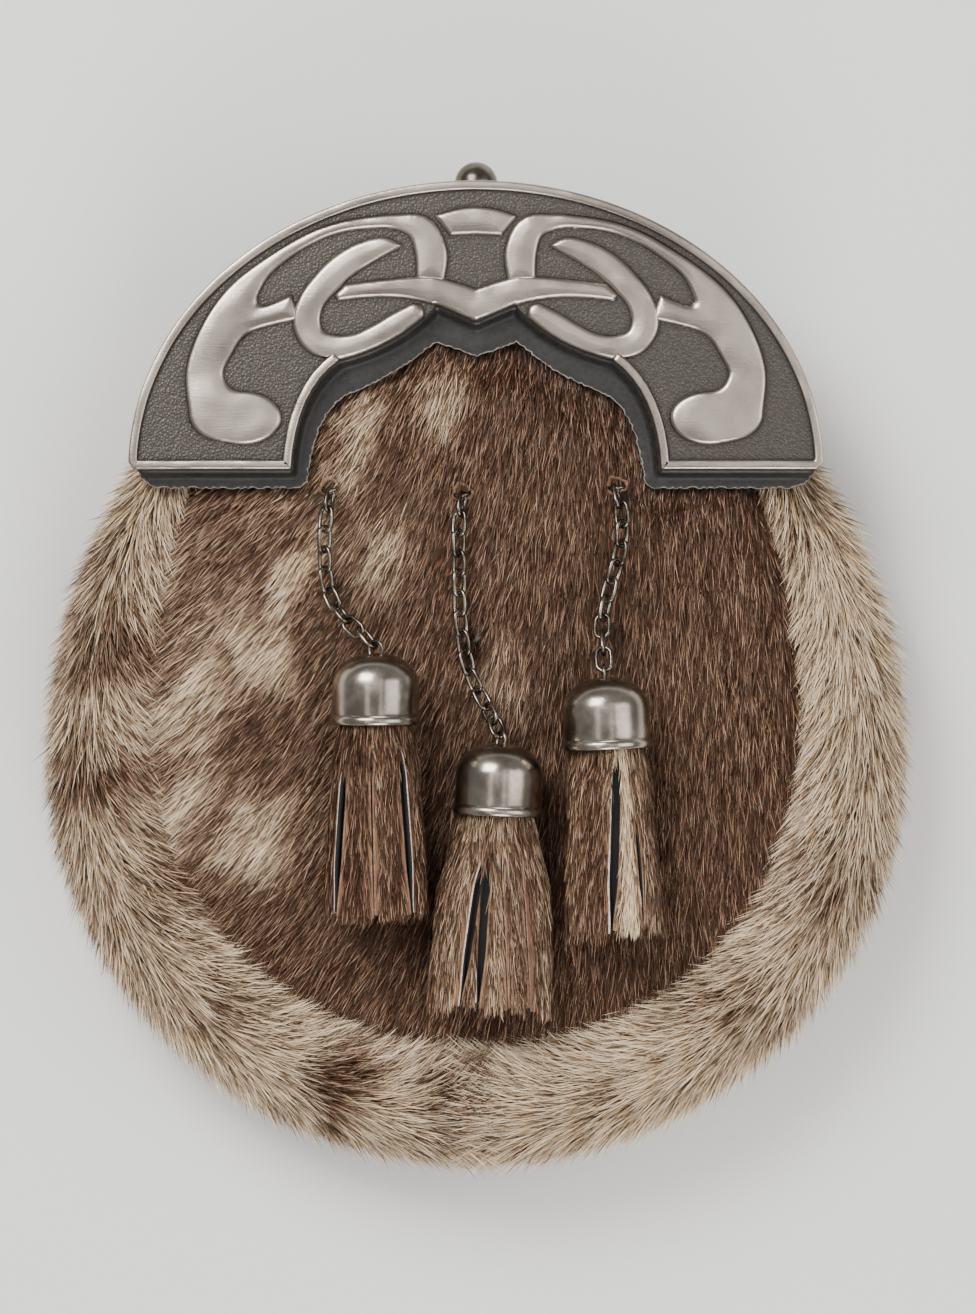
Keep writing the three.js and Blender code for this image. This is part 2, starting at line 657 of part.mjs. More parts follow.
place('cantle', cantleGeometry(), pewter);
place('apron', apronGeometry(), leather);
place('knob', knobGeometry(), darkPewter);
place('front_panel', frontGeometry(), sealFur);
place('gusset_left', gussetGeometry(-1), creamFur);
place('gusset_right', gussetGeometry(1), creamFur);
place('back_panel', backGeometry(), leather);
const tabHole = new THREE.CylinderGeometry(tab.hole, tab.hole, 20, 16).translate(0, tab.y, knob.z);
place('closing_tab', geometryOf(solidOf(tabGeometry()).subtract(solidOf(tabHole))), leather);
place('belt_loop_left', loopGeometry(-1), leather);
place('belt_loop_right', loopGeometry(1), leather);
for (const row of tassels) {
  const chain = chainPlaces(row);
  chain.places.forEach((spot, i) => {
    place(`chain_${row.name}_${String(i + 1).padStart(2, '0')}`, linkGeometry(spot), darkPewter);
  });
  place(`anchor_${row.name}`, anchorGeometry(row), darkPewter);
  place(`cap_${row.name}`, capGeometry(row, chain), darkPewter);
  place(`tassel_${row.name}`, tasselGeometry(row), sealFur);
}

const bounds = new THREE.Box3().setFromObject(sporran);
const middle = bounds.getCenter(new THREE.Vector3());
sporran.position.set(-middle.x, -middle.y, -bounds.min.z);

export default sporran;
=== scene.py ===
import math

import bmesh
import bpy
import numpy as np
from mathutils import Matrix, Vector


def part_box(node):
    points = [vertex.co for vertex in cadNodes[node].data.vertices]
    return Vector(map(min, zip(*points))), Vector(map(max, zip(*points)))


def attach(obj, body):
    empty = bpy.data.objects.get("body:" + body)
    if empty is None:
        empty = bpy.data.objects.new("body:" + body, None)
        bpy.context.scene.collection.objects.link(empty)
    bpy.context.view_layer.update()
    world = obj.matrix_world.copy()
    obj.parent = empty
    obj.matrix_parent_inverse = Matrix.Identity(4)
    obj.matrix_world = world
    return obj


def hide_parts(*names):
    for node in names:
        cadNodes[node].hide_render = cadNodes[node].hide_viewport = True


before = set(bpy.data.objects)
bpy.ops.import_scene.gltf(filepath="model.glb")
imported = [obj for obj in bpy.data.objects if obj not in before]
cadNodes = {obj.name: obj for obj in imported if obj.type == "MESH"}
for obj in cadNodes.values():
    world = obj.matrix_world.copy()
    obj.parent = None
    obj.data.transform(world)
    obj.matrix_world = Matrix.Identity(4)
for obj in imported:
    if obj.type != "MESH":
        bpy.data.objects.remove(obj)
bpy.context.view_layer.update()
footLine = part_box("cantle")[0].y  # y of the cantle's bottom edge, from which the tables below measure
mm = 0.001
print("frame loaded:", len(cadNodes), "nodes")


def inRow(points):
    # millimetres from the middle of the cantle's bottom edge, to metres in the frame
    placed = np.array(points, float) * mm
    placed[..., 1] += footLine
    return placed


def unit(vectors):
    return vectors / np.linalg.norm(vectors, axis=-1, keepdims=True)


def smoothStep(low, high, value):
    share = np.clip((np.asarray(value, float) - low) / (high - low), 0, 1)
    return share * share * (3 - 2 * share)


def smoothThrough(xs, ys, at):
    # a smooth curve through a table's column
    xs, ys = np.array(xs, float), np.array(ys, float)
    slopes = np.gradient(ys, xs)
    k = np.clip(np.searchsorted(xs, at) - 1, 0, len(xs) - 2)
    span = xs[k + 1] - xs[k]
    t = np.clip((at - xs[k]) / span, 0, 1)
    ends = ys[k] * (1 + 2 * t) * (1 - t) ** 2 + ys[k + 1] * t * t * (3 - 2 * t)
    return ends + span * (slopes[k] * t * (1 - t) ** 2 - slopes[k + 1] * t * t * (1 - t))


def linked(name, data):
    made = bpy.data.objects.new(name, data)
    bpy.context.scene.collection.objects.link(made)
    return made


def smoothed(piece):
    piece.data.polygons.foreach_set("use_smooth", np.ones(len(piece.data.polygons), bool))
    return piece


def makeObject(name, points, faces, materials=(), faceMaterials=None):
    mesh = bpy.data.meshes.new(name)
    mesh.from_pydata([tuple(p) for p in points], [], [tuple(int(i) for i in f) for f in faces])
    for material in materials:
        mesh.materials.append(material)
    if faceMaterials is not None:
        mesh.polygons.foreach_set("material_index", np.array(faceMaterials, np.int32))
    mesh.update()
    return smoothed(linked(name, mesh))


def giveAttribute(piece, name, values):
    values = np.asarray(values, np.float32)
    isVector = values.ndim == 2
    layer = piece.data.attributes.new(name, "FLOAT_VECTOR" if isVector else "FLOAT", "POINT")
    layer.data.foreach_set("vector" if isVector else "value", values.ravel())


def inFinish(piece, finish):
    piece.data.materials.clear()
    piece.data.materials.append(finish)
    return piece


def applied(piece):
    # the piece's mesh with its modifiers worked in
    depsgraph = bpy.context.evaluated_depsgraph_get()
    mesh = bpy.data.meshes.new_from_object(piece.evaluated_get(depsgraph))
    piece.modifiers.clear()
    piece.data = mesh
    return piece


def thickened(skin, thick, inside=1, rim=1):
    # a wall grown inwards; its inner side and its rim take their finishes this many places down the list
    wall = skin.modifiers.new("wall", "SOLIDIFY")
    wall.thickness, wall.offset = thick, -1.0
    wall.material_offset, wall.material_offset_rim = inside, rim
    return applied(skin)


def joined(name, parts):
    # one object from several, keeping their materials and attributes
    bpy.ops.object.select_all(action="DESELECT")
    for part in parts:
        part.select_set(True)
    bpy.context.view_layer.objects.active = parts[0]
    if len(parts) > 1:
        bpy.ops.object.join()
    parts[0].name = name
    parts[0].data.name = name
    return parts[0]


def show(piece, slot, *standsFor):
    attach(piece, "root")
    if standsFor:
        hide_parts(*standsFor)
    return piece


def loftFaces(rows, columns, closed=False, flip=False):
    # the faces of a grid of points, row by row; closed joins each row's ends
    faces = []
    for r in range(rows - 1):
        for c in range(columns if closed else columns - 1):
            a, b = r * columns + c, r * columns + (c + 1) % columns
            face = (a, b, b + columns, a + columns)
            faces.append(face[::-1] if flip else face)
    return faces


# Node trees, for finishes and for what repeats
class Wire:
    # a socket that adds, subtracts and multiplies like a number
    def __init__(self, tree, socket):
        self.tree, self.socket = tree, socket

    def maths(self, operation, *values):
        made = addNode(self.tree, "ShaderNodeMath", {"operation": operation}, dict(enumerate(values)))
        return Wire(self.tree, made.outputs[0])

    def __add__(self, other):
        return self.maths("ADD", self, other)

    def __radd__(self, other):
        return self.maths("ADD", other, self)

    def __sub__(self, other):
        return self.maths("SUBTRACT", self, other)

    def __rsub__(self, other):
        return self.maths("SUBTRACT", other, self)

    def __mul__(self, other):
        return self.maths("MULTIPLY", self, other)

    def __rmul__(self, other):
        return self.maths("MULTIPLY", other, self)

    def limited(self):
        return self.maths("MINIMUM", self.maths("MAXIMUM", self, 0.0), 1.0)

    def ranged(self, low, high, toLow=0.0, toHigh=1.0):
        made = addNode(self.tree, "ShaderNodeMapRange", {"interpolation_type": "SMOOTHSTEP"},
                       {"Value": self, "From Min": low, "From Max": high, "To Min": toLow, "To Max": toHigh})
        return Wire(self.tree, made.outputs["Result"])


def addNode(tree, kind, settings=None, inputs=None):
    made = tree.nodes.new(kind)
    for key, value in (settings or {}).items():
        setattr(made, key, value)
    for key, value in (inputs or {}).items():
        if isinstance(value, Wire):
            value = value.socket
        if isinstance(value, bpy.types.NodeSocket):
            tree.links.new(value, made.inputs[key])
        else:
            made.inputs[key].default_value = value
    return made


class Finish:
    # a Principled material; constants go on the shader's own sockets
    def __init__(self, name, **constants):
        self.material = bpy.data.materials.new(name)
        self.material.use_nodes = True
        self.tree = self.material.node_tree
        self.shader = self.tree.nodes["Principled BSDF"]
        for key, value in constants.items():
            self.shader.inputs[key.replace("_", " ")].default_value = value

    def node(self, kind, settings=None, inputs=None, output=0):
        return Wire(self.tree, addNode(self.tree, kind, settings, inputs).outputs[output])

    def place(self, stretch=(1, 1, 1), turn=(0, 0, 0)):
        where = self.node("ShaderNodeTexCoord", output="Object")
        return self.node("ShaderNodeMapping", {}, {"Vector": where, "Scale": stretch, "Rotation": turn})

    def attribute(self, name):
        return self.node("ShaderNodeAttribute", {"attribute_name": name}, output="Fac")

    def noise(self, where, scale, detail=3.0, roughness=0.5):
        return self.node("ShaderNodeTexNoise", {},
                         {"Vector": where, "Scale": scale, "Detail": detail, "Roughness": roughness})

    def mixed(self, share, first, second):
        return self.node("ShaderNodeMix", {"data_type": "RGBA"}, {0: share, 6: first, 7: second}, 2)

    def cells(self, where, scale):
        inputs = {"Vector": where, "Scale": scale}
        return self.node("ShaderNodeTexVoronoi", {"feature": "F1"}, inputs, "Distance")

    def bump(self, height, strength=1.0, distance=0.001, under=None):
        inputs = {"Height": height, "Strength": strength, "Distance": distance}
        if under is not None:
            inputs["Normal"] = under
        return self.node("ShaderNodeBump", {}, inputs)

    def feed(self, **wires):
        for key, wire in wires.items():
            self.tree.links.new(wire.socket, self.shader.inputs[key.replace("_", " ")])
        return self.material


# Camera, floor and lights
studio = {
    "distance": 1.3, "aim": (0.00285, 0.0016), "focusHeight": 0.042,
    "floor": (0.80, 0.79, 0.77, 1), "floorFleck": (0.76, 0.75, 0.73, 1), "floorHalf": 3.0, "surround": 0.36,
    "coverHigh": 0.3121,  # height of what the camera covers at the focus height
    "sensor": 24.0, "clip": (0.01, 20.0), "lampAim": (0, 0, 0.03),
}
lamps = [  # name, place, size across and along Y, watts
    ("keyLamp", (-0.50, 0.66, 0.95), (0.60, 0.60), 20.0),
    ("fillLamp", (0.75, 0.05, 0.80), (0.7, 0.7), 5.0),
    ("rimLamp", (0.1, -0.80, 0.65), (0.5, 0.5), 7.0),
    ("overLamp", (-0.12, 0.26, 1.65), (0.60, 0.42), 1.1),
    ("leftStrip", (-0.46, 0.0, 1.20), (0.14, 1.30), 1.5),
    ("rightStrip", (0.30, 0.0, 1.25), (0.09, 1.30), 1.1),
]


def setStudio():
    camera = bpy.data.cameras.new("camera")
    camera.sensor_fit, camera.sensor_height = "VERTICAL", studio["sensor"]
    camera.lens = camera.sensor_height * studio["distance"] / studio["coverHigh"]
    camera.clip_start, camera.clip_end = studio["clip"]
    holder = linked("camera", camera)
    holder.location = (*studio["aim"], studio["focusHeight"] + studio["distance"])
    bpy.context.scene.camera = holder

    half = studio["floorHalf"]
    corners = [(-half, -half, 0), (half, -half, 0), (half, half, 0), (-half, half, 0)]
    paper = Finish("paleFloor", Roughness=0.9)
    speckle = paper.noise(paper.place(), 900.0, 2.0)
    tint = paper.mixed(speckle, studio["floor"], studio["floorFleck"])
    floor = makeObject("floor", corners, [(0, 1, 2, 3)], [paper.feed(Base_Color=tint)])

    for name, place, size, watts in lamps:
        light = bpy.data.lights.new(name, "AREA")
        light.shape, light.energy = "RECTANGLE", watts
        light.size, light.size_y = size
        behind = (Vector(place) - Vector(studio["lampAim"])).normalized()
        along = (Vector((0, 1, 0)) - behind * behind.y).normalized()
        turn = Matrix((along.cross(behind), along, behind)).transposed()
        linked(name, light).matrix_world = Matrix.Translation(place) @ turn.to_4x4()
    world = bpy.data.worlds.new("studioAir")
    world.use_nodes = True
    sky = world.node_tree.nodes["Background"]
    sky.inputs["Color"].default_value = (1, 1, 1, 1)
    sky.inputs["Strength"].default_value = studio["surround"]
    bpy.context.scene.world = world


setStudio()
print("studio set")


# Finishes
metalLook = {  # the polished bands, the pebbled field between them, and the painted shade in its hollows and along the bands
    "band": (0.47, 0.41, 0.35, 1), "bandDark": (0.32, 0.277, 0.235, 1),
    "field": (0.126, 0.110, 0.094, 1), "pit": (0.045, 0.040, 0.035, 1), "hollow": (0.085, 0.077, 0.068, 1),
    "pebbles": 1650.0, "pebbleDepth": 0.00016,
}


def polishedPewter():
    finish = Finish("polishedPewter", Metallic=1.0)
    where = finish.place()
    brushed = finish.noise(finish.place((1, 14, 1), (0, 0, 0.5)), 260.0, 4.0, 0.6)
    cloud = finish.noise(where, 55.0, 2.0)
    dark = finish.attribute("groove")
    tint = finish.mixed(cloud.ranged(0.3, 0.7), metalLook["bandDark"], metalLook["band"])
    # painted shade where the band meets the field
    tint = finish.mixed(dark, tint, metalLook["pit"])
    swell = finish.noise(where, 85.0, 1.0)  # the casting's slow unevenness, which moves its reflections
    normal = finish.bump(brushed, 0.12, 0.0004, finish.bump(swell, 0.4, 0.002))
    return finish.feed(Base_Color=tint, Roughness=0.20 + 0.14 * cloud + 0.3 * dark, Normal=normal)


def pebbledPewter():
    finish = Finish("pebbledPewter", Metallic=1.0)
    where = finish.place()
    cells = finish.node("ShaderNodeTexVoronoi", {"feature": "SMOOTH_F1"},
                        {"Vector": where, "Scale": metalLook["pebbles"], "Smoothness": 0.35}, "Distance")
    grit = finish.noise(where, 2600.0, 3.0, 0.7)
    height = 1 - cells * 1.3 + 0.5 * grit
    dark = finish.attribute("groove")
    # painted shade in the pebbles' hollows, their tops painted lighter
    tint = finish.mixed(height.ranged(0.45, 0.95), metalLook["hollow"], metalLook["field"])
    # painted shade along the bands and the rim
    tint = finish.mixed(dark, tint, metalLook["pit"])
    normal = finish.bump(height, 0.36, metalLook["pebbleDepth"])
    return finish.feed(Base_Color=tint, Roughness=0.38 - 0.14 * height.limited(), Normal=normal)


def oldMetal(name, bright, dark, rough):
    finish = Finish(name, Metallic=1.0)
    cloud = finish.noise(finish.place(), 160.0, 4.0, 0.6)
    scratch = finish.noise(finish.place((1, 1, 0.08)), 1400.0, 3.0, 0.7)
    tint = finish.mixed(cloud.ranged(0.35, 0.7), dark, bright)
    normal = finish.bump(scratch, 0.08, 0.0003)
    return finish.feed(Base_Color=tint, Roughness=rough + 0.18 * cloud, Normal=normal)


def scaled(tone, red, green, blue, lift=0.0):
    return tuple(min(1, c * k + lift) for c, k in zip(tone, (red, green, blue))) + (1,)


def leatherFinish(name, tone, grain, rough=0.48):
    finish = Finish(name, Roughness=rough)
    where = finish.place()
    cells = finish.cells(where, grain)
    crease = finish.noise(where, grain * 0.4, 5.0, 0.65)
    worn = finish.noise(where, 90.0, 3.0)
    tint = finish.mixed(worn.ranged(0.35, 0.75), tone, scaled(tone, 1.9, 1.9, 1.9, 0.006))
    normal = finish.bump(crease * 0.6 - cells * 0.5, 0.35, 0.0003)
    return finish.feed(Base_Color=tint, Roughness=rough - 0.1 + 0.25 * worn, Normal=normal)


def cutHide(name, pale, warm):
    # raw cut leather, fibrous, with darker gaps between the fibres
    finish = Finish(name, Roughness=0.85)
    fibre = finish.noise(finish.place(), 1500.0, 5.0, 0.7)
    patch = finish.noise(finish.place(), 220.0, 2.0)
    tint = finish.mixed(patch.ranged(0.35, 0.65), pale, warm)
    tint = finish.mixed(fibre.ranged(0.3, 0.6), scaled(pale, 0.4, 0.35, 0.32), tint)
    return finish.feed(Base_Color=tint, Normal=finish.bump(fibre, 0.5, 0.0003))


furLook = {  # root, middle and tip of the darker and lighter hairs in the brown and in the cream fur; the dark roots are partly the hairs' own tone and partly painted shade deep in the fur
    "brownDark": ((0.008, 0.0038, 0.0024, 1), (0.027, 0.0122, 0.0072, 1), (0.074, 0.035, 0.020, 1)),
    "brownPaleGlint": ((0.022, 0.011, 0.0065, 1), (0.20, 0.102, 0.061, 1), (0.62, 0.40, 0.265, 1)),
    "creamDark": ((0.022, 0.012, 0.007, 1), (0.098, 0.055, 0.031, 1), (0.29, 0.19, 0.115, 1)),
    "creamPaleGlint": ((0.12, 0.075, 0.045, 1), (0.70, 0.505, 0.305, 1), (1.0, 0.87, 0.68, 1)),
}


def threeTones(finish, share, tones):
    # from the first tone through the second to the third
    ramp = finish.node("ShaderNodeValToRGB", {}, {0: share})
    stops = ramp.socket.node.color_ramp.elements
    stops.new(0.5)
    for stop, at, tone in zip(stops, (0.0, 0.5, 1.0), tones):
        stop.position, stop.color = at, tone
    return ramp


def hairFinish(name, roughness=0.36):
    # each hair's tone comes from the skin's patch under its root and a chance of its own; the chance also
    # picks the lighter hairs, whose pale tips are partly painted glints
    finish = Finish(name, Roughness=roughness, Specular_IOR_Level=0.28, Specular_Tint=(1.0, 0.74, 0.56, 1))
    along, pale, chance = finish.attribute("along"), finish.attribute("pale"), finish.attribute("chance")
    tones = {key: threeTones(finish, along, look) for key, look in furLook.items()}
    share = ((pale - 0.5) * 1.6 + (chance - 0.5) * 0.8 + 0.45).limited()
    draw = (chance * 7.31).maths("FRACT", chance * 7.31)
    # painted glints: lighter hairs, partly real pale strands, with pale tips; more of them where the skin is
    # paler
    paleGlintBrown = ((draw - 0.70 + pale * 0.5) * 3.5).limited()
    paleGlintCream = ((draw - 0.75 + pale * 0.6) * 2.4).limited()
    brown = finish.mixed(paleGlintBrown, tones["brownDark"], tones["brownPaleGlint"])
    cream = finish.mixed(paleGlintCream, tones["creamDark"], tones["creamPaleGlint"])
    return finish.feed(Base_Color=finish.mixed(share, brown, cream))


def skinFinish(name, dark, light):
    # the hide under the hair, streaked like the fur's lower layer
    finish = Finish(name, Roughness=0.8)
    streak = finish.noise(finish.place((1, 0.18, 1), (0, 0, -0.5)), 900.0, 3.0, 0.7)
    tint = finish.mixed(finish.attribute("pale").limited(), dark, light)
    tint = finish.mixed(streak.ranged(0.35, 0.65, 0.0, 0.7), tint, scaled(dark, 0.4, 0.4, 0.4))
    return finish.feed(Base_Color=tint, Normal=finish.bump(streak, 0.6, 0.0004))


pewterBand = polishedPewter()
pewterField = pebbledPewter()
capMetal = oldMetal("capMetal", (0.40, 0.355, 0.295, 1), (0.25, 0.22, 0.18, 1), 0.15)
chainMetal = oldMetal("chainMetal", (0.33, 0.285, 0.235, 1), (0.10, 0.084, 0.067, 1), 0.14)
knobMetal = oldMetal("knobMetal", (0.20, 0.18, 0.15, 1), (0.09, 0.078, 0.062, 1), 0.2)
blackLeather = leatherFinish("blackLeather", (0.016, 0.016, 0.018, 1), 1500.0)
backLeather = leatherFinish("backLeather", (0.014, 0.013, 0.013, 1), 900.0, 0.5)
lining = leatherFinish("lining", (0.055, 0.042, 0.032, 1), 1200.0, 0.7)
threadFinish = leatherFinish("waxedThread", (0.030, 0.028, 0.026, 1), 2500.0, 0.55)
coreLeather = leatherFinish("coreLeather", (0.006, 0.0052, 0.0047, 1), 1500.0, 0.9)
paleHide = cutHide("paleHide", (0.72, 0.61, 0.56, 1), (0.52, 0.37, 0.27, 1))
tanHide = cutHide("tanHide", (0.30, 0.175, 0.105, 1), (0.17, 0.088, 0.050, 1))
stripEnds = cutHide("stripEnds", (0.13, 0.075, 0.045, 1), (0.05, 0.028, 0.017, 1))
pelt = skinFinish("pelt", (0.014, 0.007, 0.0045, 1), (0.14, 0.09, 0.055, 1))
suede = skinFinish("suede", (0.15, 0.064, 0.029, 1), (0.29, 0.15, 0.078, 1))
panelHair = hairFinish("panelHair")
gussetHair = hairFinish("gussetHair")
tasselHair = hairFinish("tasselHair", 0.3)
print("finishes made")


# Plan shapes, in millimetres: how far inside a point is, negative outside
outlines = {"bandSteps": 70, "cornerGap": 0.04}  # the gap keeps a grid's cut cells from getting too thin


def polygonInside(polygon, x, y):
    polygon = np.array(polygon, float)
    best = np.full(x.shape, 1e9)
    inside = np.zeros(x.shape, bool)
    for (ax, ay), (bx, by) in zip(polygon, np.roll(polygon, -1, axis=0)):
        ex, ey = bx - ax, by - ay
        t = np.clip(((x - ax) * ex + (y - ay) * ey) / (ex * ex + ey * ey + 1e-12), 0, 1)
        best = np.minimum(best, np.hypot(x - ax - t * ex, y - ay - t * ey))
        crosses = (ay > y) != (by > y)
        edge = ax + (y - ay) * ex / (ey if abs(ey) > 1e-12 else 1e-12)
        inside ^= crosses & (x < edge)
    return np.where(inside, best, -best)


def curveThrough(rows, steps):
    # a smooth line through a table's rows, by the length between them
    rows = np.array(rows, float)
    length = np.r_[0, np.cumsum(np.hypot(*np.diff(rows[:, :2], axis=0).T))]
    at = np.linspace(0, length[-1], steps)
    return np.stack([smoothThrough(length, rows[:, k], at) for k in range(rows.shape[1])], axis=1)


def bandInside(rows, x, y, blunt=()):
    # a band round a line of (x, y, half width)
    line = curveThrough(rows, outlines["bandSteps"])
    best = np.full(x.shape, -1e9)
    for (ax, ay, ar), (bx, by, br) in zip(line[:-1], line[1:]):
        ex, ey = bx - ax, by - ay
        t = np.clip(((x - ax) * ex + (y - ay) * ey) / (ex * ex + ey * ey), 0, 1)
        best = np.maximum(best, ar + (br - ar) * t - np.hypot(x - ax - t * ex, y - ay - t * ey))
    for end in blunt:  # an end cut square instead of round
        tip, before = (line[0], line[3]) if end == "start" else (line[-1], line[-4])
        dx, dy = before[0] - tip[0], before[1] - tip[1]
        past = ((x - tip[0]) * dx + (y - tip[1]) * dy) / math.hypot(dx, dy)
        away = np.hypot(x - tip[0], y - tip[1]) - 1.6 * tip[2]
        best = np.minimum(best, past + 4 * np.maximum(away, 0))
    return best


def contourFaces(field, xs, ys):
    # the part of a grid where field > 0: flat points, upper faces, and its closed edge loops
    points, ids, faces, nextAt = [], {}, [], {}
    gap = outlines["cornerGap"]

    def corner(i, j):
        key = (i, j)
        if key not in ids:
            ids[key] = len(points)
            points.append((xs[j], ys[i]))
        return ids[key]

    def crossing(i, j, k, l):
        key = (i, j, k, l) if (i, j) < (k, l) else (k, l, i, j)
        if key not in ids:
            (a, b), (c, d) = key[:2], key[2:]
            share = np.clip(field[a, b] / (field[a, b] - field[c, d]), gap, 1 - gap)
            ids[key] = len(points)
            points.append((xs[b] + (xs[d] - xs[b]) * share, ys[a] + (ys[c] - ys[a]) * share))
        return ids[key]

    solid = field > 0
    touched = solid[:-1, :-1] | solid[1:, :-1] | solid[:-1, 1:] | solid[1:, 1:]
    for i, j in zip(*np.nonzero(touched)):
        around = ((i, j), (i, j + 1), (i + 1, j + 1), (i + 1, j))
        face, edges = [], []
        for n in range(4):
            here, after = around[n], around[(n + 1) % 4]
            if solid[here]:
                face.append(corner(*here))
            if solid[here] != solid[after]:
                face.append(crossing(*here, *after))
                edges.append((bool(solid[here]), face[-1]))
        faces.append(tuple(face))
        for n, (leaves, point) in enumerate(edges):
            if leaves:
                nextAt[point] = edges[(n + 1) % len(edges)][1]
    loops, seen = [], set()
    for start in nextAt:
        loop, at = [], start
        while at not in seen and at in nextAt:
            seen.add(at)
            loop.append(at)
            at = nextAt[at]
        if len(loop) > 2:
            loops.append(loop)
    return np.array(points, float), faces, loops


def raisedShape(name, inside, cell, reach, heightAt, low, materials):
    # a plan shape raised to heightAt, with straight sides down to low and a flat underside
    (x0, x1), (y0, y1) = reach
    xs, ys = np.arange(x0, x1 + cell, cell), np.arange(y0, y1 + cell, cell)
    gridX, gridY = np.meshgrid(xs, ys)
    flat, faces, loops = contourFaces(inside(gridX, gridY), xs, ys)
    upper = np.column_stack([flat, heightAt(*flat.T)])
    lower = []
    for loop in loops:
        first = len(upper) + len(lower)
        under = list(range(first, first + len(loop)))
        lower += [(*flat[i], low) for i in loop]
        for n in range(len(loop)):
            m = (n + 1) % len(loop)
            faces.append((loop[m], loop[n], under[n], under[m]))
        faces.append(tuple(under[::-1]))
    points = np.vstack([upper, np.array(lower)])
    return makeObject(name, inRow(points), faces, materials), points


def markSharp(piece, degrees):
    # edges turned by more than this stay crisp
    piece.data.set_sharp_from_angle(angle=math.radians(degrees))


# The cantle's outlines, right half from the middle outwards
cantle = {
    "halfWidth": 82.5, "rise": 68.5, "under": 42.5, "field": 44.5, "rim": 2.3, "rimTop": 45.75,
    "cell": 0.55, "bandCell": 0.44, "rimStep": 1.2, "reach": ((-84, 84), (-1, 69.5)),
    "relief": 0.85, "edge": 0.34, "dome": 0.3, "domeReach": 2.2, "blend": 3.0,
    "lifts": {"scroll": 0.0, "ring": 0.06, "wing": 0.14, "lozenge": 0.0},  # bands cross over and under
    "underRim": 0.7, "gap": 0.05, "sunk": 0.3,
    "shadeReach": 0.45, "edgeShadeReach": 0.16,  # how far the painted shade in the corners reaches
    "rimFrom": 10,  # first point of the half edge with a rim; the ring and the wing form the rest
}
scrollBand = [
    (10.8, 44.6, 3.5), (10.7, 52.0, 4.0), (13.0, 57.0, 3.4), (18.6, 58.7, 2.0), (25.0, 58.6, 1.6),
    (33.8, 57.0, 1.5), (39.8, 54.5, 1.6), (45.8, 50.8, 1.8), (50.4, 47.3, 2.2), (56.0, 40.6, 3.9),
    (61.0, 31.6, 5.0), (64.3, 23.3, 4.6), (62.4, 13.6, 5.9),
]
scrollBulb = {"x": 55.3, "y": 12.2, "halfX": 9.4, "halfY": 6.4}
scrollSpur = [(58.0, 34.6, 3.4), (49.5, 36.4, 2.6), (42.6, 38.6, 3.2)]
ringBand = [
    (18.0, 53.0, 0.5), (21.4, 53.0, 2.1), (25.7, 51.5, 2.9), (30.4, 48.9, 3.2), (35.4, 44.4, 3.3),
    (39.2, 39.2, 3.3), (40.1, 34.4, 3.5), (38.2, 30.6, 3.2), (33.7, 29.0, 3.0), (28.5, 29.4, 2.9),
    (23.0, 31.6, 3.1), (18.3, 34.3, 3.2), (14.6, 37.0, 2.5),
]


def curvePoints(start, bend, end, steps=9):
    t = np.linspace(0, 1, steps)[1:, None]
    start, bend, end = map(np.array, (start, bend, end))
    return [tuple(p) for p in (1 - t) ** 2 * start + 2 * t * (1 - t) * bend + t * t * end]


def moonOutline(edge, inset, steps=120):
    # the half edge and its mirror image, closed by the half ellipse over the top
    end = edge[-1]
    halfWidth, rise = cantle["halfWidth"] - inset, cantle["rise"] - inset
    first = math.atan2(end[0] / halfWidth, end[1] / rise)
    angles = [first * (1 - 2 * i / steps) for i in range(1, steps)]
    arc = [(halfWidth * math.sin(angle), rise * math.cos(angle)) for angle in angles]
    return edge + arc + [(-x, y) for x, y in edge[:0:-1]]


def mirroredWhole(half):
    # a half outline that starts and ends on the middle line, made whole
    return half + [(-x, y) for x, y in half[::-1] if x > 0]


cantleEdge = ([(0, 35.0), (9.6, 39.1), (10.2, 38.0)] + curvePoints((10.2, 38.0), (18.5, 29.2), (32.3, 25.9))
              + curvePoints((32.3, 25.9), (42.8, 18.5), (43.8, 0)) + [(81.3, 0)])
apronEdge = ([(0, 26.8), (9.8, 30.2)] + curvePoints((9.8, 30.2), (18, 22.5), (30.5, 17.8))
             + curvePoints((30.5, 17.8), (38, 14), (39.8, -3)) + [(42, -4.6), (74, -4.6)]
             + curvePoints((74, -4.6), (79.6, -4.4), (80.6, 0)))
wing = ([(0, 35.2), (9.8, 38.9)] + curvePoints((9.8, 38.9), (19, 42), (33, 39.8)) + [(33.6, 41.4), (31, 44)]
        + curvePoints((31, 44), (22, 45.5), (10, 46)) + curvePoints((10, 46), (4, 44.5), (0, 43)))
lozenge = [(0, 55.6), (6.2, 55.3), (10, 60.2)] + curvePoints((10, 60.2), (5, 62.4), (0, 62.4))
cantleOutline, apronOutline = moonOutline(cantleEdge, 0), moonOutline(apronEdge, 1)


def cantleInside(x, y):
    return polygonInside(cantleOutline, x, y)


def softUnion(first, second):
    # the larger of two, with a fillet where they meet
    near = np.clip(1 - np.abs(first - second) / cantle["blend"], 0, 1)
    return np.maximum(first, second) + near ** 2 * cantle["blend"] / 4


def bandsInside(x, y):
    side = np.abs(x)
    bulb = scrollBulb
    reach = np.hypot((side - bulb["x"]) / bulb["halfX"], (y - bulb["y"]) / bulb["halfY"])
    scroll = softUnion(bandInside(scrollBand, side, y, ("start",)), (1 - reach) * bulb["halfY"])
    scroll = softUnion(scroll, bandInside(scrollSpur, side, y, ("end",)))
    return {
        "scroll": scroll,
        "ring": bandInside(ringBand, side, y),
        "wing": polygonInside(mirroredWhole(wing), x, y),
        "lozenge": polygonInside(mirroredWhole(lozenge), x, y),
    }


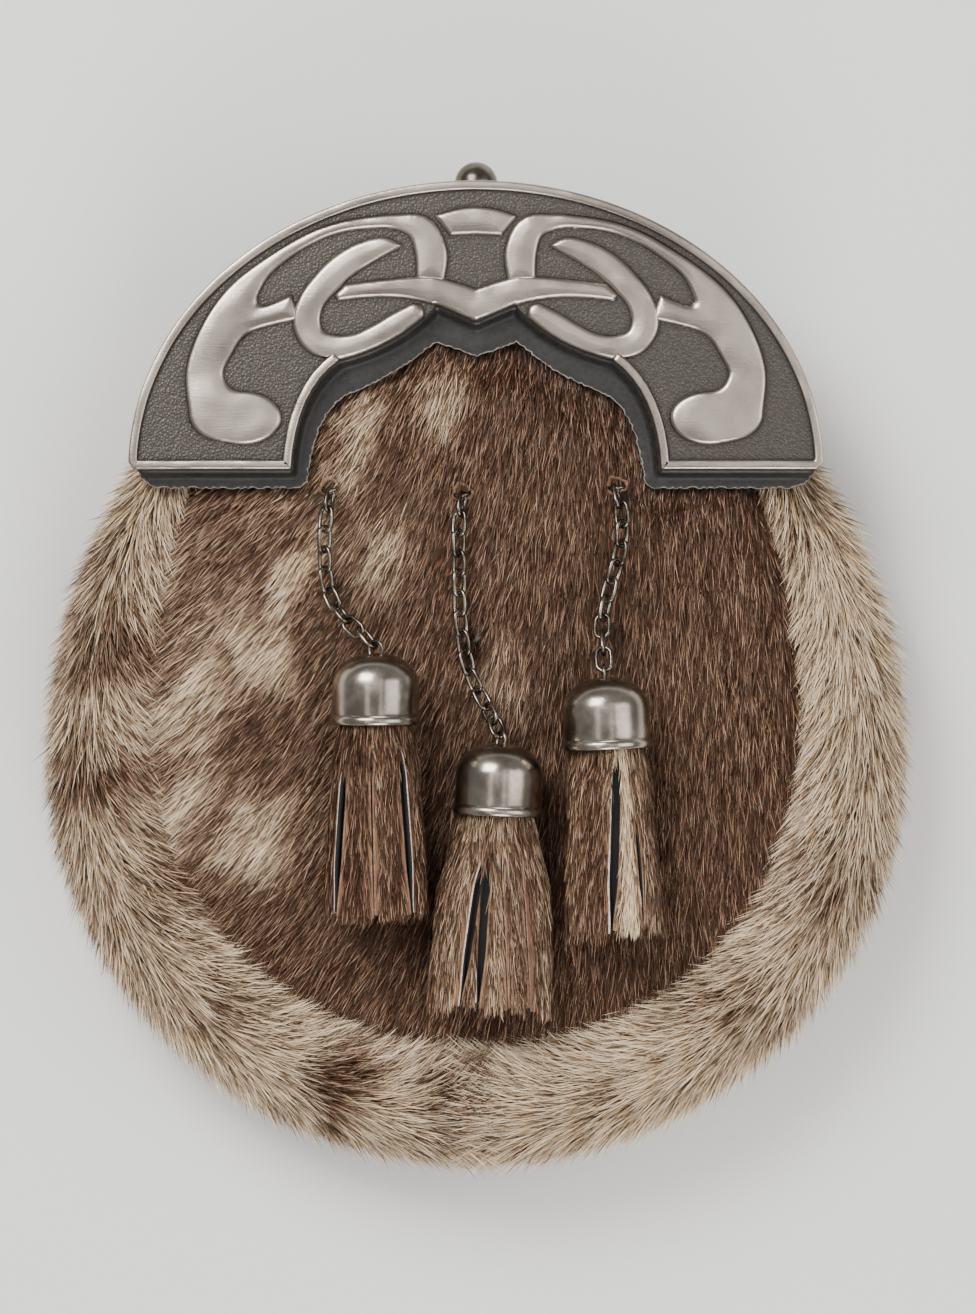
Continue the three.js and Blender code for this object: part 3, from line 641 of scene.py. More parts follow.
def sweptRim(name, outline, profile, materials):
    # a profile of (inset, height) carried along an outline from its first point to its last
    dense = []
    for a, b in zip(outline[:-1], outline[1:]):
        steps = max(1, round(math.dist(a, b) / cantle["rimStep"]))
        dense += [(a[0] + (b[0] - a[0]) * k / steps, a[1] + (b[1] - a[1]) * k / steps) for k in range(steps)]
    line = np.array(dense + [outline[-1]])
    ahead = np.diff(line, axis=0, append=2 * line[-1:] - line[-2:-1])
    both = unit(ahead) + unit(np.vstack([ahead[:1], ahead[:-1]]))
    inward = np.stack([-both[:, 1], both[:, 0]], axis=1)
    size = np.linalg.norm(inward, axis=1, keepdims=True)
    inward = inward / size * np.clip(2 / size, 1, 2.2)  # mitred at the corners
    area = 0.5 * np.sum(line[:, 0] * np.roll(line[:, 1], -1) - line[:, 1] * np.roll(line[:, 0], -1))
    inward *= math.copysign(1, area)
    points = np.vstack([np.column_stack([line + inward * inset, np.full(len(line), height)])
                        for inset, height in profile])
    faces = loftFaces(len(profile), len(line), flip=area < 0)
    first, last = (tuple(k * len(line) + n for k in range(len(profile))) for n in (0, len(line) - 1))
    faces += [first[::-1], last] if area < 0 else [first, last[::-1]]
    return makeObject(name, inRow(points), faces, materials), points


def cadCopy(name, node):
    # a CAD node's shape with its doubles merged, to be worked on
    shape = bmesh.new()
    shape.from_mesh(cadNodes[node].data)
    bmesh.ops.remove_doubles(shape, verts=shape.verts, dist=1e-6)
    return shape, bpy.data.meshes.new(name)


def bevelledCopy(name, node, width):
    # a CAD node's shape with its edges rounded
    shape, mesh = cadCopy(name, node)
    bmesh.ops.dissolve_limit(shape, angle_limit=0.02, verts=shape.verts, edges=shape.edges)
    shape.to_mesh(mesh)
    shape.free()
    made = linked(name, mesh)
    rounding = made.modifiers.new("rounding", "BEVEL")
    rounding.width, rounding.segments, rounding.limit_method = width, 3, "ANGLE"
    rounding.angle_limit = math.radians(40)
    return applied(made)


def lowerCopy(name, node, top):
    # the part of a CAD node's shape that lies under a height
    shape, mesh = cadCopy(name, node)
    gone = [face for face in shape.faces if min(v.co.z for v in face.verts) > top
            or max(v.co.z for v in face.verts) > top + 0.004]
    bmesh.ops.delete(shape, geom=gone, context="FACES")
    shape.to_mesh(mesh)
    shape.free()
    return linked(name, mesh)


def makePlate():
    def inside(x, y):
        bare = smoothStep(36, 33, np.abs(x)) * smoothStep(46, 42, y)  # where the edge has no rim
        return cantleInside(x, y) - cantle["underRim"] * cantle["rim"] * (1 - bare) - cantle["gap"]

    def level(x, y):
        return np.full(x.shape, cantle["field"])

    plate, points = raisedShape("cantlePlate", inside, cantle["cell"], cantle["reach"], level,
                                cantle["under"], [pewterField])
    x, y, _ = points.T
    fromBands = np.abs(np.max(list(bandsInside(x, y).values()), axis=0))
    fromRim = np.abs(cantleInside(x, y) - cantle["rim"])
    # painted shade on the field along the bands and the rim
    giveAttribute(plate, "groove", 0.9 * np.exp(-np.minimum(fromBands, fromRim) / cantle["shadeReach"]))
    return plate


def makeRim():
    low, top, field, first = cantle["under"], cantle["rimTop"], cantle["field"], cantle["rimFrom"]
    profile = [  # how far in, how high, how much painted shade
        (0.35, low, 0.0), (0.0, low + 0.35, 0.1), (0.0, top - 0.6, 0.0), (0.1, top - 0.25, 0.0),
        (0.3, top - 0.06, 0.0), (0.6, top, 0.0), (1.75, top, 0.0), (2.05, top - 0.12, 0.1),
        (2.22, top - 0.45, 0.7), (2.3, field - 0.2, 1.0),
    ]
    outline = cantleOutline[first:len(cantleOutline) + 1 - first]
    rim, points = sweptRim("cantleRim", outline, [row[:2] for row in profile], [pewterBand])
    # painted shade at the rim's foot, next to the field
    giveAttribute(rim, "groove", np.repeat([row[2] for row in profile], len(points) // len(profile)))
    return rim


def makeBand(name, lift):
    # a raised band, soft at its edge and slightly domed
    field = cantle["field"]

    def inside(x, y):
        return np.minimum(bandsInside(x, y)[name], cantleInside(x, y) - cantle["gap"])

    def heightAt(x, y):
        depth = np.maximum(inside(x, y), 0)
        edge = cantle["relief"] * (1 - np.exp(-((depth / cantle["edge"]) ** 1.3)))
        return field + lift + edge + cantle["dome"] * (1 - np.exp(-((depth / cantle["domeReach"]) ** 2)))

    band, points = raisedShape("band_" + name, inside, cantle["bandCell"], cantle["reach"], heightAt,
                               field - cantle["sunk"], [pewterBand])
    x, y, z = points.T
    # painted shade on the band's edge, full on its sides below the field
    edgeShade = 0.75 * np.exp(-np.maximum(inside(x, y), 0) / cantle["edgeShadeReach"])
    giveAttribute(band, "groove", np.where(z < field, 1.0, edgeShade))
    return band


def makeCantle():
    parts = [makePlate(), makeRim()] + [makeBand(name, lift) for name, lift in cantle["lifts"].items()]
    lug = inFinish(lowerCopy("cantleLug", "cantle", cantle["under"] * mm - 0.0001), pewterBand)
    giveAttribute(lug, "groove", np.zeros(len(lug.data.vertices)))
    whole = joined("cantleCasting", parts + [lug])
    markSharp(whole, 50)
    return show(whole, "cantle_metal", "cantle")


makeCantle()
print("cantle made")


# The apron: a leather flange moulded up to the seat of the cantle, with a ragged cut edge
apron = {
    "under": 37.7, "flange": 39.7, "seat": 42.2, "slope": 1.7, "seatDrop": 0.5, "cell": 0.62,
    "reach": ((-84, 84), (-6, 69)), "ragged": 0.6, "sag": 0.12, "rounding": 0.35,
    "cutWide": 0.36, "crestWide": 0.35,  # of the pale cut edge, and of the shiny crest along the cantle
    "grain": 1900.0, "dark": (0.0112, 0.0100, 0.0090, 1), "light": (0.0215, 0.0194, 0.0176, 1),
    "fibre": (0.26, 0.23, 0.20, 1),
}


def ripple(x, y):
    # small irregular waves along a cut edge
    slow = np.sin(x * 0.9 + 2.1 * np.sin(y * 0.7)) * np.sin(y * 1.1 + 1.7 * np.sin(x * 0.6))
    return 0.6 * slow + 0.8 * np.sin(x * 2.6 + 1.6 * np.sin(x * 0.8)) * np.sin(y * 2.9 + 1.0)


def alongArch(x, y):
    # 1 at the half ellipse over the top, 0 along the cut lower edge
    arch = np.hypot(x / cantle["halfWidth"], y / cantle["rise"])
    return smoothStep(0.95, 0.975, arch) * smoothStep(-2, 1, y)


def fromSeat(x, y):
    # how far inside the cantle's lower edge, where the leather is pressed up to it
    return cantleInside(x, y + apron["seatDrop"])


def apronFinish():
    finish = Finish("apronLeather", Specular_IOR_Level=0.35)
    where = finish.place()
    cells = finish.cells(where, apron["grain"])
    crease = finish.noise(where, 700.0, 5.0, 0.65)
    fuzz = finish.noise(where, 2600.0, 4.0, 0.7)
    cut = (finish.attribute("cut") * 1.3 - 0.75 + fuzz * 0.6).ranged(0.2, 0.55)
    crest = finish.attribute("crest")
    tint = finish.mixed(crease.ranged(0.3, 0.7), apron["dark"], apron["light"])
    tint = finish.mixed(cut * 0.75, tint, apron["fibre"])
    normal = finish.bump(crease * 0.5 - cells * 0.4, 0.3, 0.00025)
    return finish.feed(Base_Color=tint, Roughness=0.5 - 0.26 * crest + 0.35 * cut, Normal=normal)


def makeApron():
    look = apron

    def inside(x, y):
        edge = polygonInside(apronOutline, x, y)
        return edge - look["ragged"] * 0.5 * (1 + ripple(x, y)) * (1 - alongArch(x, y))

    def heightAt(x, y):
        rise = smoothStep(-look["slope"], 0.2, fromSeat(x, y))
        sag = look["sag"] * np.sin(x * 0.31) * np.sin(y * 0.23)
        rounded = look["rounding"] * np.exp(-np.maximum(inside(x, y), 0) / 0.5)
        return look["flange"] + (look["seat"] - look["flange"]) * rise + sag * (1 - rise) - rounded

    made, points = raisedShape("leatherApron", inside, look["cell"], look["reach"], heightAt, look["under"],
                               [apronFinish()])
    x, y, z = points.T
    cut = np.exp(-np.maximum(inside(x, y), 0) / look["cutWide"]) * (z > look["under"] + 0.1)
    giveAttribute(made, "cut", cut * (1 - alongArch(x, y)))
    giveAttribute(made, "crest", np.exp(-((fromSeat(x, y) + 0.25) / look["crestWide"]) ** 2))
    markSharp(made, 60)
    return show(made, "black_leather", "apron")


makeApron()
print("apron made")


# Turned metal: the knob and the caps
knob = {"ball": 5.1, "y": 68.8, "z": 33.0, "neck": 2.0, "foot": 60.3, "turns": 48}
cap = {"radius": 10.8, "height": 17.0, "straight": 9.5, "wall": 0.9, "bead": 1.0, "turns": 64}
eyelet = {"radius": 1.9, "wire": 0.4, "stand": 0.9, "turns": 28, "sides": 10}
furTop = 41.0
axisHeight = furTop + 0.3 + cap["radius"] + 0.1  # the caps lie on the fur, a little proud of it
tassels = {
    "left": {"x": -23.6, "y": -43.5, "lean": 0.0, "length": 44.4, "half": 13.0},
    "middle": {"x": 5.9, "y": -64.8, "lean": -2.6, "length": 44.6, "half": 15.4},
    "right": {"x": 30.3, "y": -49.2, "lean": 2.6, "length": 42.3, "half": 12.4},
}


def outwardNormals(piece):
    shape = bmesh.new()
    shape.from_mesh(piece.data)
    bmesh.ops.remove_doubles(shape, verts=shape.verts, dist=1e-9)
    bmesh.ops.recalc_face_normals(shape, faces=shape.faces)
    shape.to_mesh(piece.data)
    shape.free()
    return piece


def turned(name, profile, steps, materials):
    # a profile of (radius, y) spun about Y; points on the axis become poles
    rings, points, faces = [], [], []
    for radius, along in profile:
        if radius < 1e-6:
            rings.append([len(points)])
            points.append((0, along, 0))
            continue
        rings.append(list(range(len(points), len(points) + steps)))
        for k in range(steps):
            angle = 2 * math.pi * k / steps
            points.append((radius * math.cos(angle), along, radius * math.sin(angle)))
    for upper, lower in zip(rings[:-1], rings[1:]):
        for k in range(steps):
            m = (k + 1) % steps
            if len(upper) == 1:
                faces.append((upper[0], lower[m], lower[k]))
            elif len(lower) == 1:
                faces.append((upper[k], upper[m], lower[0]))
            else:
                faces.append((upper[k], upper[m], lower[m], lower[k]))
    return outwardNormals(makeObject(name, points, faces, materials))


def torus(radius, wire, steps, sides):
    points, faces = [], []
    for k in range(steps):
        angle = 2 * math.pi * k / steps
        for s in range(sides):
            turn = 2 * math.pi * s / sides
            reach = radius + wire * math.cos(turn)
            points.append((reach * math.cos(angle), reach * math.sin(angle), wire * math.sin(turn)))
            here, after, beside = k * sides, (k + 1) % steps * sides, (s + 1) % sides
            faces.append((here + s, after + s, after + beside, here + beside))
    return np.array(points), faces


def moved(piece, matrix):
    piece.data.transform(matrix)
    return piece


def stood(x, y, z, turn=Matrix()):
    # from a piece's own millimetres to its place in the frame
    return Matrix.Translation(inRow((x, y, z))) @ turn @ Matrix.Scale(mm, 4)


def tasselPlace(row):
    # a tassel's own millimetres start at its cap's crown, and down is -Y
    return stood(row["x"], row["y"], axisHeight, Matrix.Rotation(math.radians(row["lean"]), 4, "Z"))


def makeKnob():
    neckTop = -math.sqrt(knob["ball"] ** 2 - knob["neck"] ** 2)
    foot = knob["foot"] - knob["y"]
    profile = [(0, foot), (knob["neck"] + 0.8, foot), (knob["neck"] + 0.8, foot + 0.5),
               (knob["neck"], foot + 1.1), (knob["neck"], neckTop)]
    for angle in np.linspace(math.atan2(neckTop, knob["neck"]), math.pi / 2, 22)[1:]:
        profile.append((knob["ball"] * math.cos(angle), knob["ball"] * math.sin(angle)))
    made = turned("knobBall", profile, knob["turns"], [knobMetal])
    return show(moved(made, stood(0, knob["y"], knob["z"])), "chain_metal", "knob")


def linksOf(side):
    return sorted(node for node in cadNodes if node.startswith("chain_" + side))


def linkCentre(name):
    low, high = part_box(name)
    return (low + high) / 2


def capProfile():
    crown, foot, bead = cap["height"] - cap["straight"], -cap["height"], cap["bead"]
    outer = cap["radius"] - bead / 2
    inner = outer - cap["wall"]
    profile = [(0, 0)]
    for angle in np.linspace(math.pi / 2, 0, 15)[1:]:  # the dome, a little squarer than round
        profile.append((outer * math.cos(angle) ** 0.9, -crown + crown * math.sin(angle)))
    profile += [(outer, foot + 2.9 * bead), (outer - 0.12, foot + 2.35 * bead)]
    profile.append((outer + 0.1, foot + 2.1 * bead))
    for angle in np.linspace(math.radians(70), math.radians(-90), 8):  # the bead
        profile.append((outer - 0.15 + 0.5 * math.cos(angle), foot + bead + bead * math.sin(angle)))
    profile += [(inner, foot), (inner, -crown)]
    for angle in np.linspace(0, math.pi / 2, 8)[1:]:  # the hollow
        profile.append((inner * math.cos(angle), -crown + (crown - cap["wall"]) * math.sin(angle)))
    return profile


def makeCap(name, row):
    place = tasselPlace(row)
    shell = moved(turned("cap_shell_" + name, capProfile(), cap["turns"], [capMetal]), place)
    # the eyelet turns to face the chain's last link
    eye = place @ Vector((0, eyelet["stand"], 0))
    axis = (place.to_3x3() @ Vector((0, 1, 0))).normalized()
    away = (linkCentre(linksOf(name)[-1]) - eye).normalized()
    ringNormal = axis.cross(away).normalized()
    basis = Matrix((axis.cross(ringNormal), axis, ringNormal)).transposed().to_4x4()
    points, faces = torus(eyelet["radius"] * mm, eyelet["wire"] * mm, eyelet["turns"], eyelet["sides"])
    ring = makeObject("cap_eyelet_" + name, points, faces, [chainMetal])
    whole = joined("tasselCap_" + name, [shell, moved(ring, Matrix.Translation(eye) @ basis)])
    markSharp(whole, 45)
    return show(whole, "chain_metal", "cap_" + name)


makeKnob()
for side, row in tassels.items():
    makeCap(side, row)
print("knob and caps made")


# Chain links, set on the places of the CAD links
link = {"long": 7.0, "wide": 4.5, "wire": 0.98, "turns": 20, "sides": 8}


def newTree(name, inputs):
    tree = bpy.data.node_groups.new(name, "GeometryNodeTree")
    tree.interface.new_socket(name="Geometry", in_out="INPUT", socket_type="NodeSocketGeometry")
    tree.interface.new_socket(name="Shape", in_out="INPUT", socket_type="NodeSocketObject")
    tree.interface.new_socket(name="Finish", in_out="INPUT", socket_type="NodeSocketMaterial")
    for label, kind in inputs.items():
        tree.interface.new_socket(name=label, in_out="INPUT", socket_type=kind)
    tree.interface.new_socket(name="Geometry", in_out="OUTPUT", socket_type="NodeSocketGeometry")
    return tree, tree.nodes.new("NodeGroupInput").outputs, tree.nodes.new("NodeGroupOutput").inputs


def attributeWire(tree, name, kind="FLOAT"):
    made = addNode(tree, "GeometryNodeInputNamedAttribute", {"data_type": kind}, {"Name": name})
    return Wire(tree, made.outputs["Attribute"])


def setOnPoints(tree, given, points, turn, size=(1, 1, 1)):
    shape = addNode(tree, "GeometryNodeObjectInfo", {"transform_space": "ORIGINAL"},
                    {"Object": given["Shape"]})
    return addNode(tree, "GeometryNodeInstanceOnPoints", {}, {
        "Points": points, "Instance": shape.outputs["Geometry"], "Rotation": turn, "Scale": size}).outputs[0]


def endTree(tree, given, placed, result):
    # plain mesh, in the given finish
    real = addNode(tree, "GeometryNodeRealizeInstances", {}, {"Geometry": placed})
    clad = addNode(tree, "GeometryNodeSetMaterial", {},
                   {"Geometry": real.outputs[0], "Material": given["Finish"]})
    tree.links.new(clad.outputs[0], result[0])
    return tree


def grown(carrier, tree, values, name):
    # the tree's result on the carrier as a plain mesh object
    modifier = carrier.modifiers.new("nodes", "NODES")
    modifier.node_group = tree
    sockets = {item.name: item.identifier for item in tree.interface.items_tree if item.in_out == "INPUT"}
    for label, value in values.items():
        modifier[sockets[label]] = value
    depsgraph = bpy.context.evaluated_depsgraph_get()
    mesh = bpy.data.meshes.new_from_object(carrier.evaluated_get(depsgraph))
    mesh.name = name
    carrier.modifiers.remove(modifier)
    return linked(name, mesh)


def placingTree(name):
    # sets a shape on each point, turned by its spin
    tree, given, result = newTree(name, {})
    points = addNode(tree, "GeometryNodeMeshToPoints", {}, {"Mesh": given["Geometry"]})
    spin = attributeWire(tree, "spin", "FLOAT_VECTOR")
    turn = addNode(tree, "FunctionNodeEulerToRotation", {}, {"Euler": spin})
    return endTree(tree, given, setOnPoints(tree, given, points.outputs[0], turn.outputs[0]), result)


def setOut(name, places, bases, tree, shape, finish):
    # the shape on each place, turned by the columns of its basis, all as one piece
    carrier = makeObject("places", places, [])
    giveAttribute(carrier, "spin", [tuple(Matrix(basis).transposed().to_euler()) for basis in bases])
    made = grown(carrier, tree, {"Shape": shape, "Finish": finish}, name)
    bpy.data.objects.remove(carrier)
    return made


def linkPlace(name):
    # a CAD link's middle, and the directions along, across and through it
    corners = np.array([v.co for v in cadNodes[name].data.vertices])
    corners = np.unique(np.round(corners, 7), axis=0)
    _, _, axes = np.linalg.svd(corners - corners.mean(axis=0))
    along, across = Vector(axes[0]), Vector(axes[1])
    return (corners.min(axis=0) + corners.max(axis=0)) / 2, (along, across, along.cross(across))


def makeChains():
    radius, wire = (link["wide"] - link["wire"]) / 2 * mm, link["wire"] / 2 * mm
    points, faces = torus(radius, wire, link["turns"], link["sides"])
    # a ring pulled apart into an oval; the points on its middle line stay there
    points[:, 0] += np.sign(np.round(points[:, 0], 7)) * (link["long"] - link["wide"]) / 2 * mm
    shape = makeObject("linkShape", points, faces)
    tree = placingTree("chainLinks")
    for side in tassels:
        places, bases = zip(*map(linkPlace, linksOf(side)))
        made = setOut("chain_" + side, places, bases, tree, shape, chainMetal)
        show(smoothed(made), "chain_metal", *linksOf(side))
    bpy.data.objects.remove(shape)
    for side in tassels:
        bar = bevelledCopy("chainBar_" + side, "anchor_" + side, 0.0002)
        show(inFinish(bar, chainMetal), "chain_metal", "anchor_" + side)


makeChains()
print("chains made")


# The pouch: front panel and gusset as hides, furred below
pouch = {
    "halfWidth": 102.5, "centreY": -68.0, "below": 98.0, "above": 114.0, "mouth": 33.0,
    "seamTop": 36.5, "rise": 4.5, "panelY": -40.0, "topRadius": 65.0, "topCentreY": -14.6,
    "furDepth": 2.2, "groove": 3.4, "grooveWide": 4.2, "panelWall": 2.2, "gussetWall": 2.6,
    "panelGrid": (200, 50), "panelRings": 47,  # steps along the seam and over the top, and rings inside them
    "gussetGrid": (120, 36), "sweepLeft": (0.95, 0.75), "sweepRight": (0.6, 0.8),  # inwards, then outwards
    "underApron": 36.7, "holeClear": (1.9, 2.9),
}
gussetRows = np.array([  # angle from the top, how far out past the seam, lowest and highest
    (33, 7, 7, 35.6), (45, 12, 7, 36.2), (56, 18, 6.6, 36.8), (70, 22.5, 4, 38.6), (90, 25, 0, 40),
    (135, 27, 0, 40), (180, 29.3, 0, 40),
])
panelPatches = [  # x, y, half across, half along, how pale, for the light streaks
    (-41, -22, 4.5, 15, 0.85), (-20, -16, 5, 9, 0.7), (-61, -34, 4, 9, 0.45), (-50, -40, 12, 5, 0.85),
    (-66, -52, 7, 14, 0.9), (-70, -80, 6, 12, 0.85), (-50, -86, 8, 11, 0.85), (-25, 13, 5, 9, 0.75),
    (-7, 19, 4, 6, 0.6), (6, -46, 5, 9, 0.5), (-74, -22, 3.5, 12, 0.5), (-30, 2, 4, 6, 0.45),
    (-46, -8, 5, 6, 0.3), (64, -30, 6, 20, 0.12), (52, -60, 8, 20, 0.1), (20, -12, 6, 12, 0.15),
]
gussetPatches = [  # x, y, half across, half along, how dark, on the cream gusset
    (-84, -40, 8, 9, 0.75), (-90, -70, 10, 6, 0.8), (-74, -92, 9, 13, 0.65), (-88, -20, 5, 8, 0.35),
    (-38, -146, 8, 8, 0.85), (-6, -149, 10, 7, 0.85), (-9, -158, 12, 6, 0.45), (-62, -128, 9, 7, 0.45),
    (-100, -95, 5, 8, 0.35), (74, -40, 5, 44, 0.5), (86, -96, 10, 9, 0.6), (33, -148, 6, 5, 0.55),
    (64, -127, 12, 7, 0.6), (92, -60, 6, 10, 0.2),
]


def patchSum(rows, x, y, lean):
    # soft blots, stretched along the lie of the hair
    total = np.zeros(x.shape)
    wobbleX = 2.2 * np.sin(x * 0.31 + 1.7 * np.sin(y * 0.21)) + 1.3 * np.sin(y * 0.53)
    wobbleY = 2.6 * np.sin(y * 0.27 + 1.9 * np.sin(x * 0.24)) + 1.3 * np.sin(x * 0.61)
    for px, py, across, along, amount in rows:
        dx, dy = x + wobbleX - px, y + wobbleY - py
        u = dx * np.cos(lean) + dy * np.sin(lean)
        v = -dx * np.sin(lean) + dy * np.cos(lean)
        total = np.maximum(total, amount * np.exp(-0.7 * ((u / across) ** 2 + (v / along) ** 2)))
    return total


def outerLine(degrees):
    # the pouch's outline and its outward direction, by the angle from the top
    angle = np.radians(degrees)
    reach = np.where(np.cos(angle) > 0, pouch["above"], pouch["below"])
    points = np.stack([pouch["halfWidth"] * np.sin(angle), pouch["centreY"] + reach * np.cos(angle)], axis=-1)
    return points, unit(np.stack([np.sin(angle) / pouch["halfWidth"], np.cos(angle) / reach], axis=-1))


def gussetColumn(degrees, column):
    folded = np.where(degrees > 180, 360 - degrees, degrees)
    return smoothThrough(gussetRows[:, 0], gussetRows[:, column], folded)


def seamLine(degrees, inset):
    points, normal = outerLine(degrees)
    return points - normal * (gussetColumn(degrees, 1) + inset)[..., None]


def panelOutline(seamSteps, arcSteps):
    # the seam with the gusset, and the free edge over the mouth
    degrees = np.linspace(pouch["mouth"], 360 - pouch["mouth"], seamSteps)
    seam = seamLine(degrees, 0.15)
    radius, centreY = pouch["topRadius"], pouch["topCentreY"]
    first = math.atan2(seam[-1, 0], seam[-1, 1] - centreY)
    angle = first * (1 - 2 * np.arange(1, arcSteps) / arcSteps)
    arc = np.stack([radius * np.sin(angle), centreY + radius * np.cos(angle)], axis=1)
    return np.vstack([seam, arc]), np.r_[np.ones(len(seam)), np.zeros(len(arc))]


def panelGrid(seamSteps, arcSteps, shares):
    # rings of points from the middle out to the panel's edge, with each one's share of the way out
    # and whether it lies towards the seam
    outline, sewn = panelOutline(seamSteps, arcSteps)
    centre = np.array([0, pouch["panelY"]])
    flat = centre + (outline - centre)[None] * shares[:, None, None]
    share = np.repeat(shares[:, None], len(outline), axis=1)
    points = np.vstack([centre[None], flat.reshape(-1, 2)])
    count = len(outline)
    faces = [(0, 1 + (i + 1) % count, 1 + i) for i in range(count)]
    for face in loftFaces(len(shares), count, closed=True):
        faces.append(tuple(1 + i for i in face[::-1]))
    return points, np.r_[0, share.ravel()], np.r_[0, np.tile(sewn, len(shares))], faces


def leanAt(x):
    # how far the panel's hair leans to its left, in radians
    return np.radians(-44 * smoothStep(40, -75, x) - 4 * smoothStep(60, 0, x))


holes = {"left": (-34.7, -4.0), "middle": (-3.3, -5.2), "right": (33.5, -3.6)}


def facingUp(points, faces):
    # turns the whole sheet over if it faces down
    corners = np.array([points[list(face[:3])] for face in faces])
    ahead, aside = corners[:, 1] - corners[:, 0], corners[:, 2] - corners[:, 0]
    total = np.sum(ahead[:, 0] * aside[:, 1] - ahead[:, 1] * aside[:, 0])
    return faces if total > 0 else [tuple(face[::-1]) for face in faces]


def pressedFur(points):
    # the fur lies flatter under the chains
    placed = inRow(points)
    nearest = np.full(len(placed), 1e9)
    for name in linksOf(""):
        nearest = np.minimum(nearest, np.hypot(*(placed[:, :2] - np.array(linkCentre(name))[:2]).T))
    return 0.2 + 0.8 * smoothStep(0.003, 0.008, nearest)


def guideHair(skin, shape, flow, **layers):
    # what hair reads from its hide: its lie and tone, and where, how long and how steeply it grows
    giveAttribute(skin, "flow", flow.reshape(-1, 3))
    for name, values in layers.items():
        giveAttribute(skin, name, np.broadcast_to(values, shape).ravel())


def panelSkin():
    shares = np.linspace(0, 1, pouch["panelRings"] + 1)[1:] ** 0.92
    flat, share, sewn, faces = panelGrid(*pouch["panelGrid"], shares)
    x, y = flat.T
    fade = np.where(sewn > 0, np.sqrt(np.clip(1 - share ** 4, 0, 1)), 1.0)
    height = pouch["seamTop"] + pouch["rise"] * fade - pouch["furDepth"]
    outside = -polygonInside(apronOutline, x, y)
    height = np.minimum(height, pouch["underApron"] + 2.6 * smoothStep(0.0, 9.0, outside))
    height += 0.25 * np.sin(x * 0.21) * np.sin(y * 0.17)
    points = np.column_stack([flat, height])
    skin = makeObject("frontHide", inRow(points), facingUp(points, faces), [pelt, lining])
    lean = leanAt(x)
    seamPull = smoothStep(0.86, 1.0, share) * sewn  # the hair sinks into the seam
    flow = np.column_stack([np.sin(lean), -np.cos(lean), -0.25 * seamPull])
    pale = 1.1 * patchSum(panelPatches, x, y, lean)
    # painted light: the panel's upper left made paler, with more lighter, glinting hairs
    pale += 0.14 * smoothStep(35, -50, x) * smoothStep(-105, -70, y)
    pale += 0.07 * np.sin(x * 0.9 + 2 * np.sin(y * 0.07)) * smoothStep(-20, 60, x)
    cover = smoothStep(-1.2, 0.3, outside)
    for hx, hy in holes.values():
        cover = cover * smoothStep(*pouch["holeClear"], np.hypot(x - hx, y - hy))
    guideHair(skin, x.shape, flow, pale=np.clip(pale, 0, 1.15), cover=cover,
              reach=0.55 + 0.45 * smoothStep(-0.5, 8.0, outside), stand=pressedFur(points))
    return skin


def gussetForm(side):
    # the gusset's grid of points from the front seam round to the back, and its direction down the seam
    steps, around = pouch["gussetGrid"]
    degrees = np.linspace(pouch["mouth"], 180, steps)
    start, normal = seamLine(degrees, -0.15), outerLine(degrees)[1]
    width, low, high = (gussetColumn(degrees, k) for k in (1, 2, 3))
    depth = pouch["furDepth"]
    turn = math.pi * (0.5 - np.linspace(0, 1, around))
    out = (width - depth)[:, None] * np.clip(np.cos(turn), 0, None)[None] ** 0.9
    dip = pouch["groove"] * np.exp(-((out / pouch["grooveWide"]) ** 2))
    half = ((high - low) / 2 - depth)[:, None]
    z = ((high + low) / 2)[:, None] + np.sin(turn)[None] * (half - dip)
    x = side * (start[:, :1] + normal[:, :1] * out)
    y = start[:, 1:] + normal[:, 1:] * out
    tangent = unit(np.gradient(start, axis=0)) * (side, 1)
    return degrees, np.stack([x, y, z], axis=-1), np.column_stack([tangent, np.zeros(steps)])[:, None]


def gussetSkin(side):
    degrees, points, down = gussetForm(side)
    steps, around = points.shape[:2]
    x, y, _ = np.moveaxis(points, -1, 0)
    faces = loftFaces(steps, around, flip=side > 0)
    skin = makeObject("gussetHide", inRow(points.reshape(-1, 3)), faces, [pelt, lining])
    u = np.linspace(0, 1, around)[None]  # from the front seam to the back
    inner, outer = pouch["sweepLeft" if side < 0 else "sweepRight"]
    sweep = -inner * smoothStep(0.30, 0.08, u) + outer * smoothStep(0.26, 0.5, u)
    flow = unit(down + unit(np.gradient(points, axis=1)) * sweep[..., None])
    ownPatches = [row for row in gussetPatches if row[0] * side > 0]  # the tones change at the bottom seam
    # painted shade: the gusset darker from its outermost line down under towards the back
    pale = 0.89 - patchSum(ownPatches, x, y, 0.0) - 0.15 * smoothStep(0.5, 0.8, u)
    pale = pale + 0.08 * np.sin(x * 0.7) * np.sin(y * 0.5)
    pale = pale + 0.17 * smoothStep(0, 60, x) + 0.20 * smoothStep(-110, -145, y)
    mouthEdge = smoothStep(pouch["mouth"], pouch["mouth"] + 2, degrees)[:, None]
    tufted = smoothStep(0.22, 0.40, u) * smoothStep(0.75, 0.55, u)
    guideHair(skin, x.shape, flow, pale=np.clip(pale, 0, 1.2),
              cover=smoothStep(1.0, 0.93, u) * (0.2 + 0.8 * mouthEdge),
              reach=0.45 + 0.55 * smoothStep(0.98, 0.6, u), stand=1.0 + 0.9 * tufted)
    return skin


